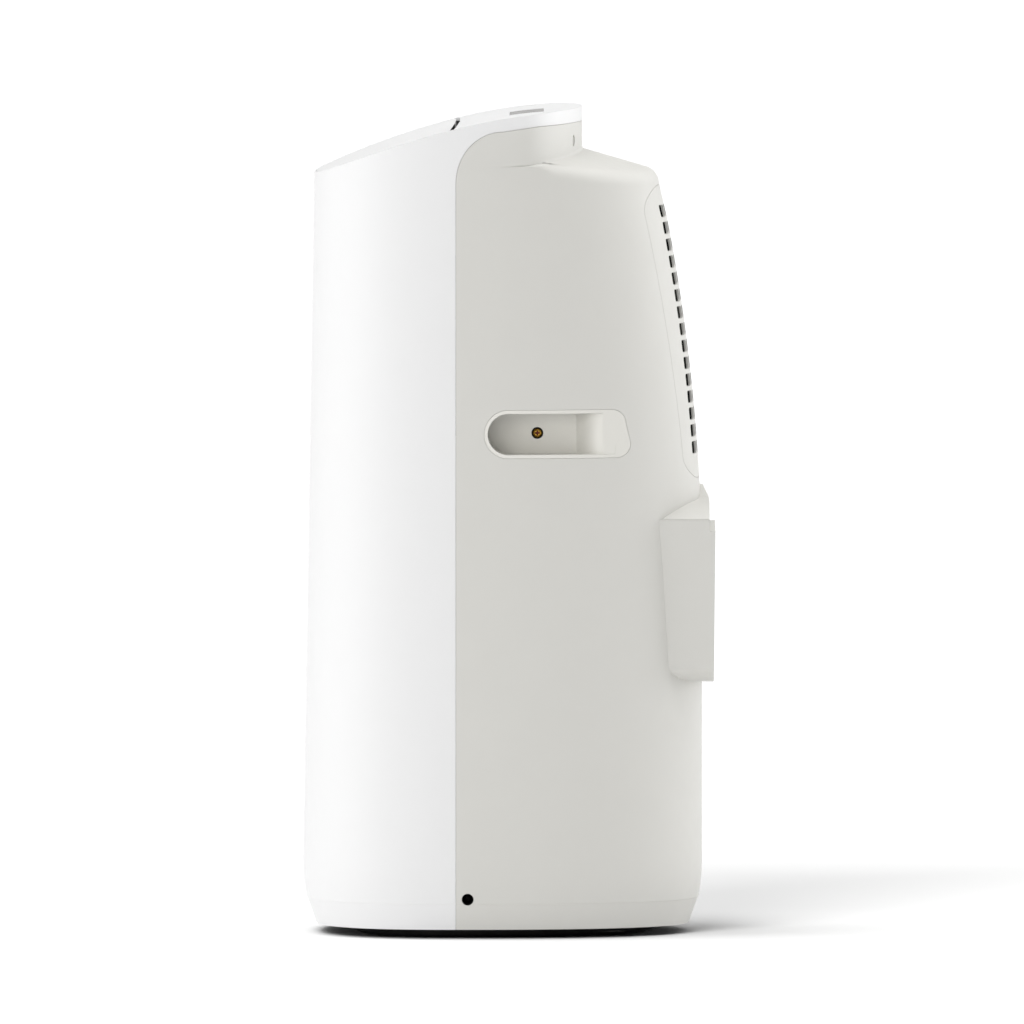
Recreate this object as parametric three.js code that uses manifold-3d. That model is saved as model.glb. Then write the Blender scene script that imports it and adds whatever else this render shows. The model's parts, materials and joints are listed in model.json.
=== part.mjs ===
// A floor-standing dehumidifier with a rear exhaust duct, as an assembly of separate pieces.
// Millimetres. +Z is up, the front faces -Y, and the origin is on the floor under the middle of the base.
import * as THREE from "three";
import { mergeVertices } from "three/addons/utils/BufferGeometryUtils.js";
import Module from "manifold-3d";

const wasm = await Module();
wasm.setup();

// ---------------------------------------------------------------- driving dimensions
const HEIGHT = 702;
const HALF_WIDTH = 172;
const FRONT_REACH = 175;
const REAR_REACH = 164;
const SIDE_LEAN = 6; // how much each side leans in from the skirt to the top
const FRONT_LEAN = 10.5; // how much the front leans back from the skirt to the top
const WALL = 3;
const GAP = 0.4; // between fixed pieces that meet
const RUNNING = 0.35; // radial clearance of pins and shafts

const SEAM_Y = -45; // the vertical joint between the front and the rear shell
const PLAN_POWER = 2.5;
const RING_POINTS = 36;

const SHELL_BOTTOM = 8;
const SKIRT_EDGE = 30;
const SKIRT_TOP = 60;
const SKIRT_INSET = 11;
const SKIRT_EDGE_INSET = 3;

const BEND_START = 300; // above this height the back curves forward
const BEND_DEPTH = 36.6;
const NECK_REAR = 62;
const NECK_TURN = 10; // behind this line the neck turns in from the body's plan
const NECK_POWER = 2.2;
const SHOULDER_Z = HEIGHT - 36.5;
const SHOULDER_SLOPE = 0.29;
const SHOULDER_LEVEL_AHEAD = 30; // the shelf stops rising ahead of this y
const SHOULDER_CROWN = 23;
const SHOULDER_RADIUS = 10;

const CREST_Y = 45; // the highest line of the top
const TOP_DROP = 56;
const TOP_SPAN = 210; // from the crest to where the drop is measured
const TOP_POWER = 1.74;
const TOP_CROWN = 3;
const SLAB_ARC_Z = HEIGHT - 62; // where the seam starts to turn back under the top slab
const SLAB_ARC_REACH = 40;
const SLAB_ARC_RISE = 45;
const SLAB_REAR_Z = HEIGHT - 11.7;
const SLAB_TURN = { y: 25, drop: 0.6 }; // where the slab's underside levels out
const BEND_SPAN = SLAB_ARC_Z - BEND_START;

const FLAP_THICKNESS = 4;
const FLAP_RIM = 2;
const FLAP_REAR = -45.2;
const FLAP_BOW = 5.3;
const FLAP_SLOT = 2.6;
const FLAP_SEAM = 0.9;
const FLAP_SLOT_FROM = 64;

const DISPLAY = { x: 90, y: 15, width: 58, depth: 28, thickness: 2.5 };
const BUTTON_RADIUS = 8;
const BUTTON_HEIGHT = 5;
const BUTTON_PITCH = 25;
const BUTTON_FIRST_X = -115;

const OUTLET = {
  halfWidth: 96, front: -140, rear: -66, bottom: HEIGHT - 127, wall: 2.5, deckDepth: 12,
};
const VANE = {
  count: 5, pitch: 35, y: -103, chord: 62, thickness: 2,
  bottom: OUTLET.bottom + 17, top: OUTLET.bottom + 55, foot: 6, bar: 7,
};
const VANE_PIN = 1.6;
const CRANK_Y = 20;
const LINK = { width: 7, thickness: 2.4 };
const LOUVER_MOTOR = { x: 132, y: -66, z: HEIGHT - 62, radius: 13, length: 16, shaft: 3 };

const GRILLE = {
  bottom: 387, top: HEIGHT - 67, halfTop: 93, halfBottom: 79,
  cornerTop: { x: 60, z: 24 }, cornerBottom: { x: 44, z: 20 },
};
const SLOTS = {
  rows: 15, columns: 4, open: 0.725, margin: 15, halfTop: 58, halfBottom: 55, rib: 3.2,
};
const FILTER = { inset: 14, from: 4.4, to: 6 };

const HOUSING = {
  halfTop: 115, halfBottom: 106.5, bottom: 214.5, top: 353.5, rear: 175, corner: { x: 45, z: 14 },
  lip: { middle: 4.3, side: 10 },
};
const HOOD = { halfWidth: 112, rise: { side: 0.8, middle: 26.5 }, setBack: 5, chamfer: { z: 13, y: 6 } };
const DUCT = { z: 284, opening: 58, wall: 3.6, depth: 34 };
const DUCT_BORE = DUCT.opening - GAP - DUCT.wall;

const HANDLE = { front: -21, rear: 103, z: 427.8, height: 40.8, lip: 3, slant: 4, corner: 12 };
const HANDLE_FLOOR_X = 128;
const HANDLE_FLOOR = 5;
const HANDLE_RAMP = { from: 57, to: 90 };
const SCREW = { head: 4, hole: 4.8, shank: 1.9, headHeight: 2.6, length: 14 };
const HANDLE_SCREW_Y = 24;
const BASE_SCREW = { y: -35, z: 34, seatX: HALF_WIDTH - 22 };
const NECK_CAP = { radius: 4.5, y: NECK_REAR - 7.5, z: HEIGHT - 28, depth: 4 };

const BASE = { bottom: 2.5, rimTop: 11, top: 46, inset: 33, sole: 46, wall: 3, floor: 14 };
const CASTER = { x: 78, front: -85, rear: 70, wheel: 14, width: 12, trail: 7, stem: 4, cheek: 2.5 };
const CASTER_POCKET = 26;
const CASTER_CEILING = 38;
const CHASSIS_Z = 50;

const COMPRESSOR = { x: -48, y: 42, radius: 47, bottom: 68, top: 214 };
const MOUNT = { radius: 8, height: 13, circle: 56 };
const ACCUMULATOR = { x: 24, y: 42, radius: 15, bottom: 82, top: 188 };
const COIL = { halfWidth: 84, front: 76, rear: 102, bend: 5 };
const EVAPORATOR = { bottom: OUTLET.bottom - 69, top: OUTLET.bottom + 47 };
const CONDENSER = { bottom: EVAPORATOR.bottom - 110, top: EVAPORATOR.bottom - 14 };
const BLOWER = {
  y: -62, z: OUTLET.bottom - 75, radius: 56, eye: 40, halfWidth: 62, shaft: 4, blades: 10, scroll: 76,
};
const BLOWER_MOTOR = { radius: 28, length: 42 };
const FAN = { radius: DUCT_BORE - 4, hub: 16, blades: 5, front: 104, rear: 122, shaft: 4 };
const FAN_MOTOR = { radius: 27, front: 56, rear: 98 };
const SHROUD = { inner: FAN.radius + 3, wall: 2.5, front: 98, rear: 132, floor: 3 };
const CONTROL_BOX = { x: [20 - HALF_WIDTH, 76 - HALF_WIDTH], y: [-66, 14], z: [232, 392], lid: 3 };
const DRAIN_UPPER_Z = 165;
const DRAIN_LOWER_Z = 84;
const DRAIN = { cap: 11, thickness: 2.4, shank: 7, length: 18 };
const GLAND = { x: -62, z: 100, radius: 9, bore: 4, length: 16, sunk: 5 };

// Cutters reach past the casing by these.
const OUTSIDE = Math.max(HALF_WIDTH, FRONT_REACH, REAR_REACH, HOUSING.rear) + 60;
const OVER_TOP = HEIGHT + 60;
const UNDER_SLAB = HEIGHT - TOP_DROP - 30;

// ---------------------------------------------------------------- colours and finishes
const finish = (color, roughness, metalness = 0) =>
  new THREE.MeshStandardMaterial({ color, roughness, metalness });
const WHITE = () => finish(0xf4f4f4, 0.45);
const GREY = () => finish(0xd0cfcb, 0.5);
const BLACK = () => finish(0x151515, 0.6);
const DARK = () => finish(0x3a3b3d, 0.6);
const BRASS = () => finish(0xb8903a, 0.35, 1);
const STEEL = () => finish(0xa9adb0, 0.35, 1);
const COPPER = () => finish(0xb87346, 0.3, 1);
const ALUMINIUM = () => finish(0xc4c7ca, 0.4, 1);

// ---------------------------------------------------------------- solids from geometry
// A geometry becomes a manifold solid once its shared corners are one vertex each.
function solid(geometry) {
  const bare = geometry.clone();
  bare.deleteAttribute("normal");
  bare.deleteAttribute("uv");
  const merged = mergeVertices(bare, 1e-4);
  const corners = merged.index.array;
  const kept = [];
  for (let i = 0; i < corners.length; i += 3) {
    const [a, b, c] = [corners[i], corners[i + 1], corners[i + 2]];
    if (a !== b && b !== c && c !== a) kept.push(a, b, c);
  }
  const vertProperties = merged.attributes.position.array;
  return new wasm.Manifold(
    new wasm.Mesh({ numProp: 3, vertProperties, triVerts: new Uint32Array(kept) }),
  );
}

function geometryOf(body) {
  const mesh = body.getMesh();
  const geometry = new THREE.BufferGeometry();
  geometry.setAttribute("position", new THREE.BufferAttribute(mesh.vertProperties, 3));
  geometry.setIndex(new THREE.BufferAttribute(mesh.triVerts, 1));
  geometry.computeVertexNormals();
  return geometry;
}

const union = (...solids) => solids.reduce((a, b) => a.add(b));

// A solid moved by a matrix; one that mirrors it also turns its triangles over.
function moved(body, matrix) {
  const geometry = geometryOf(body).applyMatrix4(matrix);
  if (matrix.determinant() < 0) geometry.index.array.reverse();
  return solid(geometry);
}
const mirrored = (body) => moved(body, new THREE.Matrix4().makeScale(-1, 1, 1));
const shifted = (body, x, y, z) => moved(body, new THREE.Matrix4().makeTranslation(x, y, z));
const spun = (body, axis, degrees) =>
  moved(body, new THREE.Matrix4().makeRotationAxis(axis, THREE.MathUtils.degToRad(degrees)));

// A closed body through rings of points that run anticlockwise seen from the last ring's side.
function loft(rings) {
  const count = rings[0].length;
  const positions = rings.flat().flatMap((p) => [p.x, p.y, p.z]);
  const index = [];
  const at = (ring, i) => ring * count + (i % count);
  for (let r = 0; r + 1 < rings.length; r++) {
    for (let i = 0; i < count; i++) {
      index.push(at(r, i), at(r, i + 1), at(r + 1, i + 1));
      index.push(at(r, i), at(r + 1, i + 1), at(r + 1, i));
    }
  }
  for (const [r, flip] of [[0, true], [rings.length - 1, false]]) {
    const middle = new THREE.Vector3();
    rings[r].forEach((p) => middle.addScaledVector(p, 1 / count));
    positions.push(middle.x, middle.y, middle.z);
    const centre = positions.length / 3 - 1;
    for (let i = 0; i < count; i++) {
      if (flip) index.push(centre, at(r, i + 1), at(r, i));
      else index.push(centre, at(r, i), at(r, i + 1));
    }
  }
  const geometry = new THREE.BufferGeometry();
  geometry.setAttribute("position", new THREE.Float32BufferAttribute(positions, 3));
  geometry.setIndex(index);
  return solid(geometry);
}

function box([x0, x1], [y0, y1], [z0, z1]) {
  const geometry = new THREE.BoxGeometry(x1 - x0, y1 - y0, z1 - z0);
  return solid(geometry.translate((x0 + x1) / 2, (y0 + y1) / 2, (z0 + z1) / 2));
}

// A round bar from one point to another.
function rod(radius, from, to, sides = 20) {
  const a = new THREE.Vector3(...from);
  const b = new THREE.Vector3(...to);
  const along = b.clone().sub(a);
  const turn = new THREE.Quaternion().setFromUnitVectors(
    new THREE.Vector3(0, 1, 0),
    along.clone().normalize(),
  );
  const geometry = new THREE.CylinderGeometry(radius, radius, along.length(), sides);
  geometry.applyQuaternion(turn);
  const middle = a.add(b).multiplyScalar(0.5);
  return solid(geometry.translate(middle.x, middle.y, middle.z));
}

// Prisms: an outline of [y, z] drawn along X, of [x, z] along Y, and of [x, y] along Z.
const shapeOf = (points) => new THREE.Shape(points.map(([u, v]) => new THREE.Vector2(u, v)));
function prism(points, length, axes, start) {
  const geometry = new THREE.ExtrudeGeometry(shapeOf(points), { depth: length, bevelEnabled: false });
  geometry.applyMatrix4(new THREE.Matrix4().makeBasis(...axes));
  return solid(geometry.translate(start.x, start.y, start.z));
}
const X = new THREE.Vector3(1, 0, 0);
const Y = new THREE.Vector3(0, 1, 0);
const Z = new THREE.Vector3(0, 0, 1);
const prismX = (points, x0, x1) => prism(points, x1 - x0, [Y, Z, X], X.clone().multiplyScalar(x0));
const prismY = (points, y0, y1) =>
  prism(points, y1 - y0, [X, Z, Y.clone().negate()], Y.clone().multiplyScalar(y1));
const prismZ = (points, z0, z1) => prism(points, z1 - z0, [X, Y, Z], Z.clone().multiplyScalar(z0));

// A turned piece: [radius, height] points round the Z axis.
function turned(profile, sides = 24) {
  const geometry = new THREE.LatheGeometry(
    profile.map(([r, h]) => new THREE.Vector2(r, h)),
    sides,
  );
  return geometry.rotateX(Math.PI / 2);
}

// An arc of points about a centre, both ends included.
function arc(cx, cy, rx, ry, from, to, steps) {
  return Array.from({ length: steps + 1 }, (_, i) => {
    const angle = THREE.MathUtils.degToRad(from + ((to - from) * i) / steps);
    return [cx + rx * Math.cos(angle), cy + ry * Math.sin(angle)];
  });
}

// ---------------------------------------------------------------- the outer form
const clamp01 = (t) => Math.min(1, Math.max(0, t));
const rise = (z) => (z - SKIRT_TOP) / (HEIGHT - SKIRT_TOP);

// How far the skirt has turned in at a height.
function skirtInset(z) {
  if (z >= SKIRT_TOP) return 0;
  if (z >= SKIRT_EDGE) {
    return SKIRT_EDGE_INSET * ((SKIRT_TOP - z) / (SKIRT_TOP - SKIRT_EDGE)) ** 2;
  }
  const down = (SKIRT_EDGE - z) / (SKIRT_EDGE - SHELL_BOTTOM);
  return SKIRT_EDGE_INSET + (SKIRT_INSET - SKIRT_EDGE_INSET) * down;
}
const halfWidth = (z) => HALF_WIDTH - SIDE_LEAN * clamp01(rise(z)) - skirtInset(z);
const frontReach = (z) => SEAM_Y + FRONT_REACH - FRONT_LEAN * clamp01(rise(z)) - skirtInset(z);
const bend = (z) => BEND_DEPTH * (Math.max(0, z - BEND_START) / BEND_SPAN) ** 2;
const rearReach = (z) => REAR_REACH - SEAM_Y - bend(z) - skirtInset(z);

const topZ = (x, y) =>
  HEIGHT -
  TOP_DROP * (Math.max(0, CREST_Y - y) / TOP_SPAN) ** TOP_POWER -
  TOP_CROWN * (x / HALF_WIDTH) ** 2;
const shoulderZ = (x, y) =>
  SHOULDER_Z - SHOULDER_SLOPE * (Math.max(y, SHOULDER_LEVEL_AHEAD) - NECK_REAR)
  - SHOULDER_CROWN * Math.abs(x / HALF_WIDTH) ** 2.2;

const angles = Array.from({ length: RING_POINTS }, (_, i) => (2 * Math.PI * i) / RING_POINTS);
const signedPower = (value, power) => Math.sign(value) * Math.abs(value) ** power;

// One point of a plan outline: half width, then reach and power ahead of the seam and behind it.
function planPoint(angle, half, front, frontPower, rear, rearPower) {
  const behind = Math.sin(angle) > 0;
  const power = 2 / (behind ? rearPower : frontPower);
  const x = half * signedPower(Math.cos(angle), power);
  const y = SEAM_Y + (behind ? rear : front) * signedPower(Math.sin(angle), power);
  return new THREE.Vector3(x, y, 0);
}

const bodyPoint = (angle, z, inset) =>
  planPoint(angle, halfWidth(z) - inset, frontReach(z) - inset, PLAN_POWER, rearReach(z) - inset, PLAN_POWER);

// The body's half width at a place on its length, behind the seam, and the neck's share of it.
function widthAt(y, z, inset) {
  const along = clamp01((y - SEAM_Y) / (rearReach(z) - inset));
  return (halfWidth(z) - inset) * (1 - along ** PLAN_POWER) ** (1 / PLAN_POWER);
}
// Where the back's outer surface stands at a distance from the middle.
function yAtWidth(x, z) {
  const across = Math.abs(x) / halfWidth(z);
  return SEAM_Y + rearReach(z) * (1 - across ** PLAN_POWER) ** (1 / PLAN_POWER);
}
function neckShare(y, inset) {
  const along = clamp01((y - NECK_TURN) / (NECK_REAR - NECK_TURN - inset));
  return (1 - along ** NECK_POWER) ** (1 / NECK_POWER);
}
function neckPoint(angle, z, inset) {
  const point = bodyPoint(angle, z, inset);
  if (Math.sin(angle) <= 0) return point;
  const reach = NECK_REAR - SEAM_Y - inset;
  point.y = SEAM_Y + reach * Math.sin(angle) ** (2 / PLAN_POWER);
  const side = Math.abs(Math.cos(angle)) < 1e-9 ? 0 : Math.sign(Math.cos(angle));
  point.x = side * widthAt(point.y, z, inset) * neckShare(point.y, inset);
  return point;
}
const ring = (point, z, inset) => angles.map((angle) => point(angle, z, inset).setZ(z));

// The front shell's form: the front of the body, with the neck's plan behind it for the top slab.
const frontLevels = [-5, SKIRT_EDGE, SKIRT_TOP, HEIGHT + 20];
const frontForm = (inset) => loft(frontLevels.map((z) => ring(neckPoint, z, inset)));

// The rear shell's form: the body up to the shoulder, the rounded shoulder, and the neck.
const BEND_SHARES = [0, 0.265, 0.47, 0.65, 0.79, 0.9];
const SHOULDER_LEVEL = SHOULDER_Z - 25;
function rearForm(inset) {
  const bent = BEND_SHARES.map((share) => BEND_START + share * BEND_SPAN);
  const rings = [-5, SKIRT_EDGE, SKIRT_TOP, ...bent].map((z) => ring(bodyPoint, z, inset));
  // The rounding is as large as the shelf beside the neck allows.
  const radiusAt = (angle) => {
    const { y } = bodyPoint(angle, SHOULDER_LEVEL, inset);
    const beside = widthAt(y, SHOULDER_LEVEL, inset) * (1 - neckShare(y, inset));
    return Math.min(SHOULDER_RADIUS, Math.max(0.05, 0.55 * Math.max(beside, y - NECK_REAR)));
  };
  for (const turn of [0, 45, 90]) {
    const phi = THREE.MathUtils.degToRad(turn);
    rings.push(
      angles.map((angle) => {
        const radius = radiusAt(angle);
        const point = bodyPoint(angle, SHOULDER_LEVEL, inset + radius * (1 - Math.cos(phi)));
        return point.setZ(shoulderZ(point.x, point.y) - radius * (1 - Math.sin(phi)) - inset);
      }),
    );
  }
  const foot = angles.map((angle) => neckPoint(angle, SHOULDER_LEVEL, inset));
  rings.push(foot.map((p) => p.clone().setZ(shoulderZ(p.x, p.y) - inset + 0.5)));
  rings.push(foot.map((p) => p.clone().setZ(HEIGHT + 20)));
  return loft(rings);
}

// Everything below the top surface lowered by some depth.
function belowTop(depth) {
  const stations = [-OUTSIDE, -160, -115, -75, -35, 5, CREST_Y, OUTSIDE];
  const across = [-1, -2 / 3, -1 / 3, 0, 1 / 3, 2 / 3, 1].map((share) => share * OUTSIDE);
  const rings = stations.map((y) => [
    ...across.map((x) => new THREE.Vector3(x, y, topZ(x, y) - depth)),
    new THREE.Vector3(OUTSIDE, y, -20),
    new THREE.Vector3(-OUTSIDE, y, -20),
  ]);
  return loft(rings);
}

// The joint between the shells, seen from the side: up at the seam, then back under the slab.
function seamLine(shiftY, shiftZ) {
  const centre = [SEAM_Y + SLAB_ARC_REACH, SLAB_ARC_Z];
  const points = [[SEAM_Y, -50], ...arc(...centre, SLAB_ARC_REACH, SLAB_ARC_RISE, 180, 90, 8)];
  points.push([SLAB_TURN.y, SLAB_REAR_Z - SLAB_TURN.drop], [NECK_REAR + 30, SLAB_REAR_Z + 0.9]);
  return points.map(([y, z]) => [y + shiftY, z + shiftZ]);
}
const frontSide = prismX(
  [
    ...seamLine(-GAP / 2, GAP / 2),
    [NECK_REAR + 30, OVER_TOP], [-OUTSIDE, OVER_TOP], [-OUTSIDE, -50],
  ].reverse(),
  -OUTSIDE, OUTSIDE,
);
const rearSide = prismX(
  [...seamLine(GAP / 2, -GAP / 2), [OUTSIDE, SLAB_REAR_Z], [OUTSIDE, -50]],
  -OUTSIDE, OUTSIDE,
);
const bottomCut = box([-OUTSIDE, OUTSIDE], [-OUTSIDE, OUTSIDE], [-60, SHELL_BOTTOM]);

const frontOuter = frontForm(0);
const rearOuter = rearForm(0);
const rearInner = rearForm(WALL);

// ---------------------------------------------------------------- the scene graph
const dehumidifier = new THREE.Group();
function piece(name, shape, material, parent = dehumidifier) {
  const mesh = new THREE.Mesh(shape.isBufferGeometry ? shape : geometryOf(shape), material);
  mesh.name = name;
  parent.add(mesh);
  return mesh;
}
function groupAt(x, y, z, parent = dehumidifier) {
  const group = new THREE.Group();
  group.position.set(x, y, z);
  parent.add(group);
  return group;
}

// ---------------------------------------------------------------- louver flap and its opening
// The flap's rear edge bows back at the middle; wide slots beside the middle clear its hinge arms.
const flapEdge = (x) => FLAP_REAR - FLAP_BOW * (x / HALF_WIDTH) ** 2;
function flapPlan(slot, seam) {
  const stops = [-OUTSIDE, -150, -110, -FLAP_SLOT_FROM];
  const half = stops.map((x) => [x, flapEdge(x) + slot]);
  const inner = [-FLAP_SLOT_FROM, -20].map((x) => [x, flapEdge(x) + seam]);
  const left = slot === seam ? [...half, inner[1]] : [...half, ...inner];
  const right = left.map(([x, y]) => [-x, y]).reverse();
  const ahead = [[OUTSIDE, -OUTSIDE], [-OUTSIDE, -OUTSIDE]];
  return prismZ([...left, ...right, ...ahead].reverse(), UNDER_SLAB - 60, OVER_TOP);
}
const flap = frontForm(FLAP_RIM)
  .intersect(flapPlan(0, 0))
  .intersect(belowTop(0))
  .subtract(belowTop(FLAP_THICKNESS));
const flapOpening = frontForm(FLAP_RIM - GAP)
  .intersect(flapPlan(FLAP_SLOT, FLAP_SEAM))
  .subtract(belowTop(FLAP_THICKNESS + GAP));
piece("louver_flap", flap, WHITE());

// ---------------------------------------------------------------- front shell, display and buttons
const displayHalf = [DISPLAY.width / 2, DISPLAY.depth / 2];
const displayBlock = (extra) =>
  box(
    [DISPLAY.x - displayHalf[0] - extra, DISPLAY.x + displayHalf[0] + extra],
    [DISPLAY.y - displayHalf[1] - extra, DISPLAY.y + displayHalf[1] + extra],
    [UNDER_SLAB, OVER_TOP],
  );
const displayWindow = displayBlock(0).intersect(belowTop(0)).subtract(belowTop(DISPLAY.thickness));
piece("display_window", displayWindow, finish(0xc4c3c1, 0.25));

const buttonNames = ["button_power", "button_mode", "button_down", "button_up"];
const buttonX = (i) => BUTTON_FIRST_X + i * BUTTON_PITCH;
const buttonBar = (i, extra) =>
  rod(BUTTON_RADIUS + extra, [buttonX(i), DISPLAY.y, UNDER_SLAB], [buttonX(i), DISPLAY.y, OVER_TOP], 20);
buttonNames.forEach((name, i) => {
  const shape = buttonBar(i, 0).intersect(belowTop(0)).subtract(belowTop(BUTTON_HEIGHT));
  piece(name, shape, finish(0xe6e6e4, 0.5));
});

const displaySeat = displayBlock(GAP).subtract(belowTop(DISPLAY.thickness + GAP));
const displayHole = displayBlock(-4);
// The slab is thick enough under the display to seat it.
const displaySupport = displayBlock(5).intersect(belowTop(WALL - 0.5)).subtract(belowTop(7));
let frontShell = frontOuter
  .intersect(belowTop(0))
  .intersect(frontSide)
  .subtract(frontForm(WALL).intersect(belowTop(WALL)))
  .subtract(bottomCut)
  .subtract(flapOpening);
frontShell = frontShell.add(displaySupport).subtract(displaySeat).subtract(displayHole);
buttonNames.forEach((_, i) => {
  frontShell = frontShell.subtract(buttonBar(i, GAP));
});
piece("front_shell", frontShell, WHITE());

// ---------------------------------------------------------------- air outlet, vanes and their link
const innerPlan = frontForm(WALL + GAP).intersect(flapPlan(-5, -5));
const deck = innerPlan
  .intersect(belowTop(OUTLET.deckDepth))
  .subtract(belowTop(OUTLET.deckDepth + OUTLET.wall));
const ductX = OUTLET.halfWidth + OUTLET.wall;
const ductOuter = box(
  [-ductX, ductX],
  [OUTLET.front - OUTLET.wall, OUTLET.rear + OUTLET.wall],
  [OUTLET.bottom, HEIGHT],
).intersect(belowTop(OUTLET.deckDepth));
const ductInner = box(
  [-OUTLET.halfWidth, OUTLET.halfWidth], [OUTLET.front, OUTLET.rear], [OUTLET.bottom - 5, OVER_TOP],
);
const vaneBar = box(
  [-ductX, ductX], [VANE.y - 4, VANE.y + 4], [VANE.bottom - VANE.bar, VANE.bottom - GAP],
);
const vaneX = (i) => (i - (VANE.count - 1) / 2) * VANE.pitch;
let outlet = union(deck, ductOuter).subtract(ductInner).add(vaneBar);
for (let i = 0; i < VANE.count; i++) {
  const foot = [vaneX(i), VANE.y, VANE.bottom];
  const hole = rod(VANE_PIN + RUNNING, [foot[0], foot[1], foot[2] - 2 * VANE.bar], foot, 8);
  outlet = outlet.subtract(hole);
}
piece("air_outlet_duct", outlet, DARK());

// Each vane stands on a pin in the bar and carries a crank pin on its top edge.
const vaneHeight = VANE.top - VANE.bottom;
const vaneBlade = union(
  box([-VANE.thickness / 2, VANE.thickness / 2], [-VANE.chord / 2, VANE.chord / 2], [0, vaneHeight]),
  rod(VANE_PIN, [0, 0, -VANE.foot], [0, 0, 1], 8),
  rod(VANE_PIN, [0, CRANK_Y, vaneHeight - 1], [0, CRANK_Y, vaneHeight + LINK.thickness + 1.2], 8),
  rod(3, [0, 0, 0], [0, 0, vaneHeight], 8),
);
for (let i = 0; i < VANE.count; i++) {
  const place = groupAt(vaneX(i), VANE.y, VANE.bottom);
  piece(`vane_${i + 1}`, vaneBlade, WHITE(), place);
}
const linkEnd = vaneX(VANE.count - 1) + LINK.width / 2;
const linkBottom = VANE.top + GAP;
const linkY = VANE.y + CRANK_Y;
let link = box(
  [-linkEnd, linkEnd],
  [linkY - LINK.width / 2, linkY + LINK.width / 2],
  [linkBottom, linkBottom + LINK.thickness],
);
for (let i = 0; i < VANE.count; i++) {
  link = link.subtract(
    rod(VANE_PIN + RUNNING, [vaneX(i), linkY, linkBottom - 2], [vaneX(i), linkY, linkBottom + 9], 8),
  );
}
piece("vane_link", link, DARK());

// The small geared motor that lifts the flap sits beside the outlet, behind the deck.
const louverMotor = union(
  rod(LOUVER_MOTOR.radius, [0, 0, 0], [LOUVER_MOTOR.length, 0, 0]),
  rod(LOUVER_MOTOR.shaft, [-5, 0, 0], [2, 0, 0], 12),
);
const louverMotorPlace = groupAt(LOUVER_MOTOR.x, LOUVER_MOTOR.y, LOUVER_MOTOR.z);
piece("louver_motor", louverMotor, STEEL(), louverMotorPlace);

// ---------------------------------------------------------------- rear shell openings
// The intake grille's outline, seen from behind: a rounded panel that is wider at the top.
function grilleOutline(inset) {
  const { bottom, top, halfTop, halfBottom, cornerTop, cornerBottom } = GRILLE;
  const [z0, z1] = [bottom + inset, top - inset];
  const [x0, x1] = [halfBottom - inset, halfTop - inset];
  const shrunk = ({ x, z }) => [x - inset / 2, z - inset / 2];
  const [low, high] = [shrunk(cornerBottom), shrunk(cornerTop)];
  const right = [
    ...arc(x0 - low[0], z0 + low[1], ...low, -90, 0, 5),
    ...arc(x1 - high[0], z1 - high[1], ...high, 0, 90, 5),
  ];
  return [...right, ...right.map(([x, z]) => [-x, z]).reverse()];
}

// The handle's outline, seen from the side: round in front, slanted like the back behind.
function handleOutline(inset) {
  const { front, rear, z, height, slant, corner } = HANDLE;
  const radius = height / 2 - inset;
  const [low, high] = [z - radius, z + radius];
  const round = corner - inset;
  const back = rear - inset;
  return [
    ...arc(back - round, low + round, round, round, -90, 0, 4),
    ...arc(back - slant - round, high - round, round, round, 0, 90, 4),
    ...arc(front + height / 2, z, radius, radius, 90, 270, 8),
  ];
}

// Cutters along +Y through the back, and along +X through the side.
const backHole = (radius, x, z, sides) => rod(radius, [x, REAR_REACH / 2, z], [x, OUTSIDE, z], sides);
const sideHole = (radius, fromX, { y, z }, sides = 16) => rod(radius, [fromX, y, z], [OUTSIDE, y, z], sides);
const throughBack = (outline) => prismY(outline, NECK_REAR, OUTSIDE);
const drainHole = (z) => backHole(DRAIN.cap + GAP, 0, z, 16);

// A cap's axis stands square to the neck where the cap sits.
const neckX = (y) => widthAt(y, NECK_CAP.z, 0) * neckShare(y, 0);
const capSeat = { x: neckX(NECK_CAP.y), y: NECK_CAP.y };
const capNormal = new THREE.Vector2(0.4, neckX(NECK_CAP.y - 0.2) - neckX(NECK_CAP.y + 0.2)).normalize();
const capPoint = (out) => [
  capSeat.x + capNormal.x * out,
  capSeat.y + capNormal.y * out,
  NECK_CAP.z,
];
const capHole = rod(NECK_CAP.radius + GAP, capPoint(-12), capPoint(6), 20);
const handleHole = prismX(handleOutline(-GAP), HANDLE_FLOOR_X - 20, OUTSIDE);
const baseScrewHole = sideHole(SCREW.hole, BASE_SCREW.seatX - 20, BASE_SCREW);
const glandHole = backHole(GLAND.radius + GAP, GLAND.x, GLAND.z, 16);
const ductHole = backHole(DUCT.opening, 0, DUCT.z, 28);

const rearShell = rearOuter
  .intersect(rearSide)
  .subtract(rearInner)
  .subtract(bottomCut)
  .subtract(throughBack(grilleOutline(-GAP)))
  .subtract(ductHole)
  .subtract(union(drainHole(DRAIN_UPPER_Z), drainHole(DRAIN_LOWER_Z), glandHole))
  .subtract(union(handleHole, mirrored(handleHole)))
  .subtract(union(baseScrewHole, mirrored(baseScrewHole)))
  .subtract(union(capHole, mirrored(capHole)));
piece("rear_shell", rearShell, GREY());

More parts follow.
